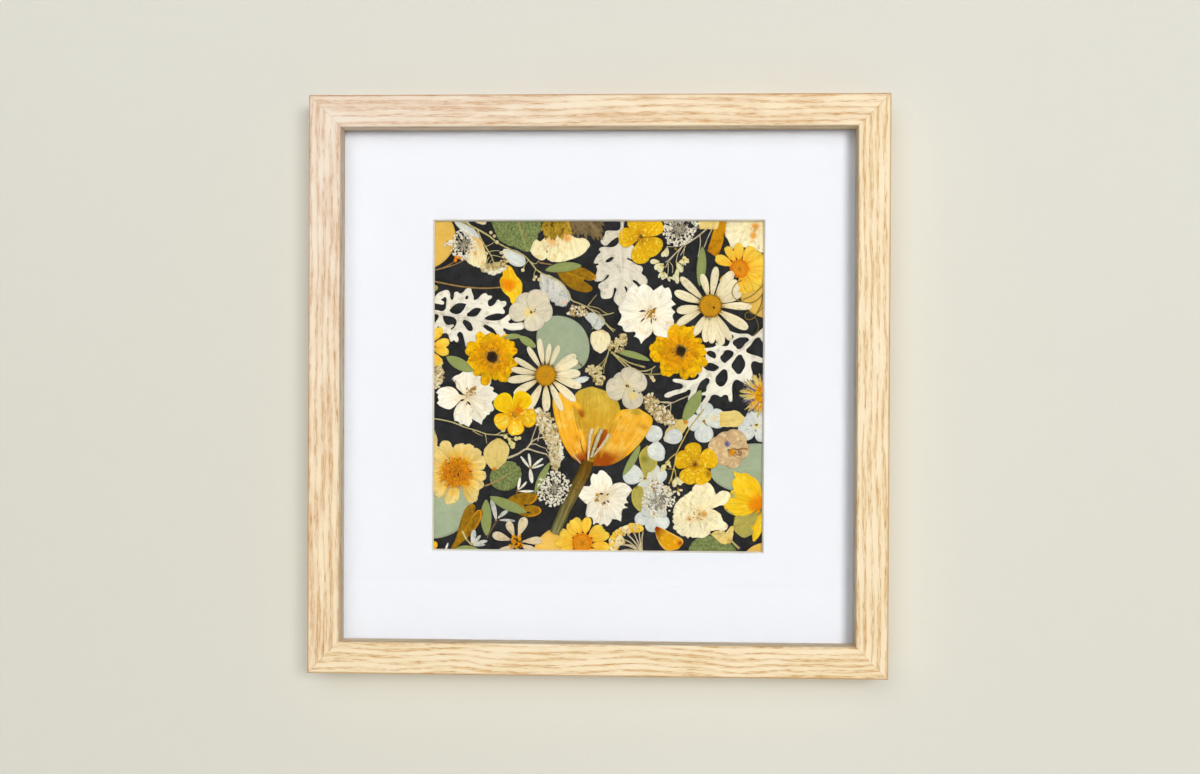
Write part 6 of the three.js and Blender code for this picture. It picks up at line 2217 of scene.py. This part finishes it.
def area_light(name, power, size, offset, glossy=True):
    """A round soft light that faces the window's middle and isn't seen through the glass."""
    spot = Vector((WINDOW_X, 0.0, WINDOW_Z)) + Vector(offset)
    data = bpy.data.lights.new(name, "AREA")
    data.energy = power
    data.shape = "DISK"
    data.size = size
    light = bpy.data.objects.new(name, data)
    light.location = spot
    light.rotation_euler = (-Vector(offset)).to_track_quat("-Z", "Y").to_euler()
    light.visible_glossy = glossy
    light.visible_transmission = False
    bpy.context.scene.collection.objects.link(light)


class FLOWERFRAME_OT_build_stage(bpy.types.Operator):
    """Sets up the wall, the floor, the soft lights and the camera"""

    bl_idname = "flower_frame.build_stage"
    bl_label = "Wall, light and camera"

    def execute(self, context):
        scene = context.scene
        studio = scene.flower_studio
        wall = one_sided_paint("wall paint", studio.wall, "cfcab6")
        upright = Matrix.Translation((0, 0, WALL_MIDDLE_Z)) @ Matrix.Rotation(math.pi / 2, 4, "X")
        stage_plane("wall", WALL_SIZE, upright, wall)
        floor = one_sided_paint("floor paint", studio.floor, "c9c5b8")
        stage_plane("floor", FLOOR_SIZE, Matrix.Translation(FLOOR_SPOT), floor)
        area_light("key light", studio.key_power, KEY_SIZE, KEY_SPOT)
        area_light("fill light", studio.fill_power, FILL_SIZE, FILL_SPOT, glossy=False)
        area_light("back light", studio.back_power, BACK_SIZE, BACK_SPOT)
        world = bpy.data.worlds.new("studio")
        world.use_nodes = True
        background = world.node_tree.nodes["Background"]
        background.inputs["Color"].default_value = shader_colour("eceef2")
        background.inputs["Strength"].default_value = studio.fill
        scene.world = world
        world.cycles_visibility.transmission = False
        scene.view_settings.view_transform = "Standard"

        data = bpy.data.cameras.new("camera")
        data.lens = studio.lens
        data.sensor_width = SENSOR
        data.shift_x, data.shift_y = SHIFT
        data.dof.use_dof = False
        camera = bpy.data.objects.new("camera", data)
        camera.location = CAMERA_SPOT
        turn = Matrix.Rotation(math.radians(CAMERA_YAW), 4, "Z")
        turn @= Matrix.Rotation(math.radians(90 + CAMERA_PITCH), 4, "X")
        turn @= Matrix.Rotation(math.radians(CAMERA_ROLL), 4, "Z")
        camera.rotation_euler = turn.to_euler()
        scene.collection.objects.link(camera)
        scene.camera = camera
        return {"FINISHED"}


OPERATORS = (
    FLOWERFRAME_OT_finish_frame,
    FLOWERFRAME_OT_add_leaves,
    FLOWERFRAME_OT_add_felted_leaves,
    FLOWERFRAME_OT_add_larkspurs,
    FLOWERFRAME_OT_add_violas,
    FLOWERFRAME_OT_add_daisies,
    FLOWERFRAME_OT_add_chrysanthemums,
    FLOWERFRAME_OT_add_buttercups,
    FLOWERFRAME_OT_add_tulip,
    FLOWERFRAME_OT_add_ruffled_flowers,
    FLOWERFRAME_OT_add_flower_heads,
    FLOWERFRAME_OT_add_twigs,
    FLOWERFRAME_OT_add_loose_petals,
    FLOWERFRAME_OT_build_stage,
)


class FLOWERFRAME_PT_panel(bpy.types.Panel):
    """The flower frame's settings and its build steps"""

    bl_idname = "FLOWERFRAME_PT_panel"
    bl_label = "Pressed Flower Frame"
    bl_space_type = "VIEW_3D"
    bl_region_type = "UI"
    bl_category = "Flower Frame"

    def draw(self, context):
        """All settings, then a button for each step."""
        column = self.layout.column(align=True)
        for settings in SETTINGS:
            group = getattr(context.scene, settings)
            for name in group.bl_rna.properties.keys():
                if name not in {"rna_type", "name"}:
                    column.prop(group, name)
        for operator in OPERATORS:
            column.operator(operator.bl_idname)


SETTINGS = {
    "flower_frame": FrameFinish,
    "flower_petals": PetalFinish,
    "flower_studio": StudioSettings,
}


def register():
    """Adds the settings, the build steps and the panel."""
    for cls in (*SETTINGS.values(), *OPERATORS, FLOWERFRAME_PT_panel):
        bpy.utils.register_class(cls)
    for name, group in SETTINGS.items():
        setattr(bpy.types.Scene, name, PointerProperty(type=group))


def unregister():
    """Takes them away again."""
    for name in SETTINGS:
        delattr(bpy.types.Scene, name)
    for cls in (FLOWERFRAME_PT_panel, *reversed(OPERATORS), *SETTINGS.values()):
        bpy.utils.unregister_class(cls)


def main():
    """Builds everything in order."""
    register()
    for operator in OPERATORS:
        group, name = operator.bl_idname.split(".")
        getattr(getattr(bpy.ops, group), name)()


if __name__ == "__main__":
    main()
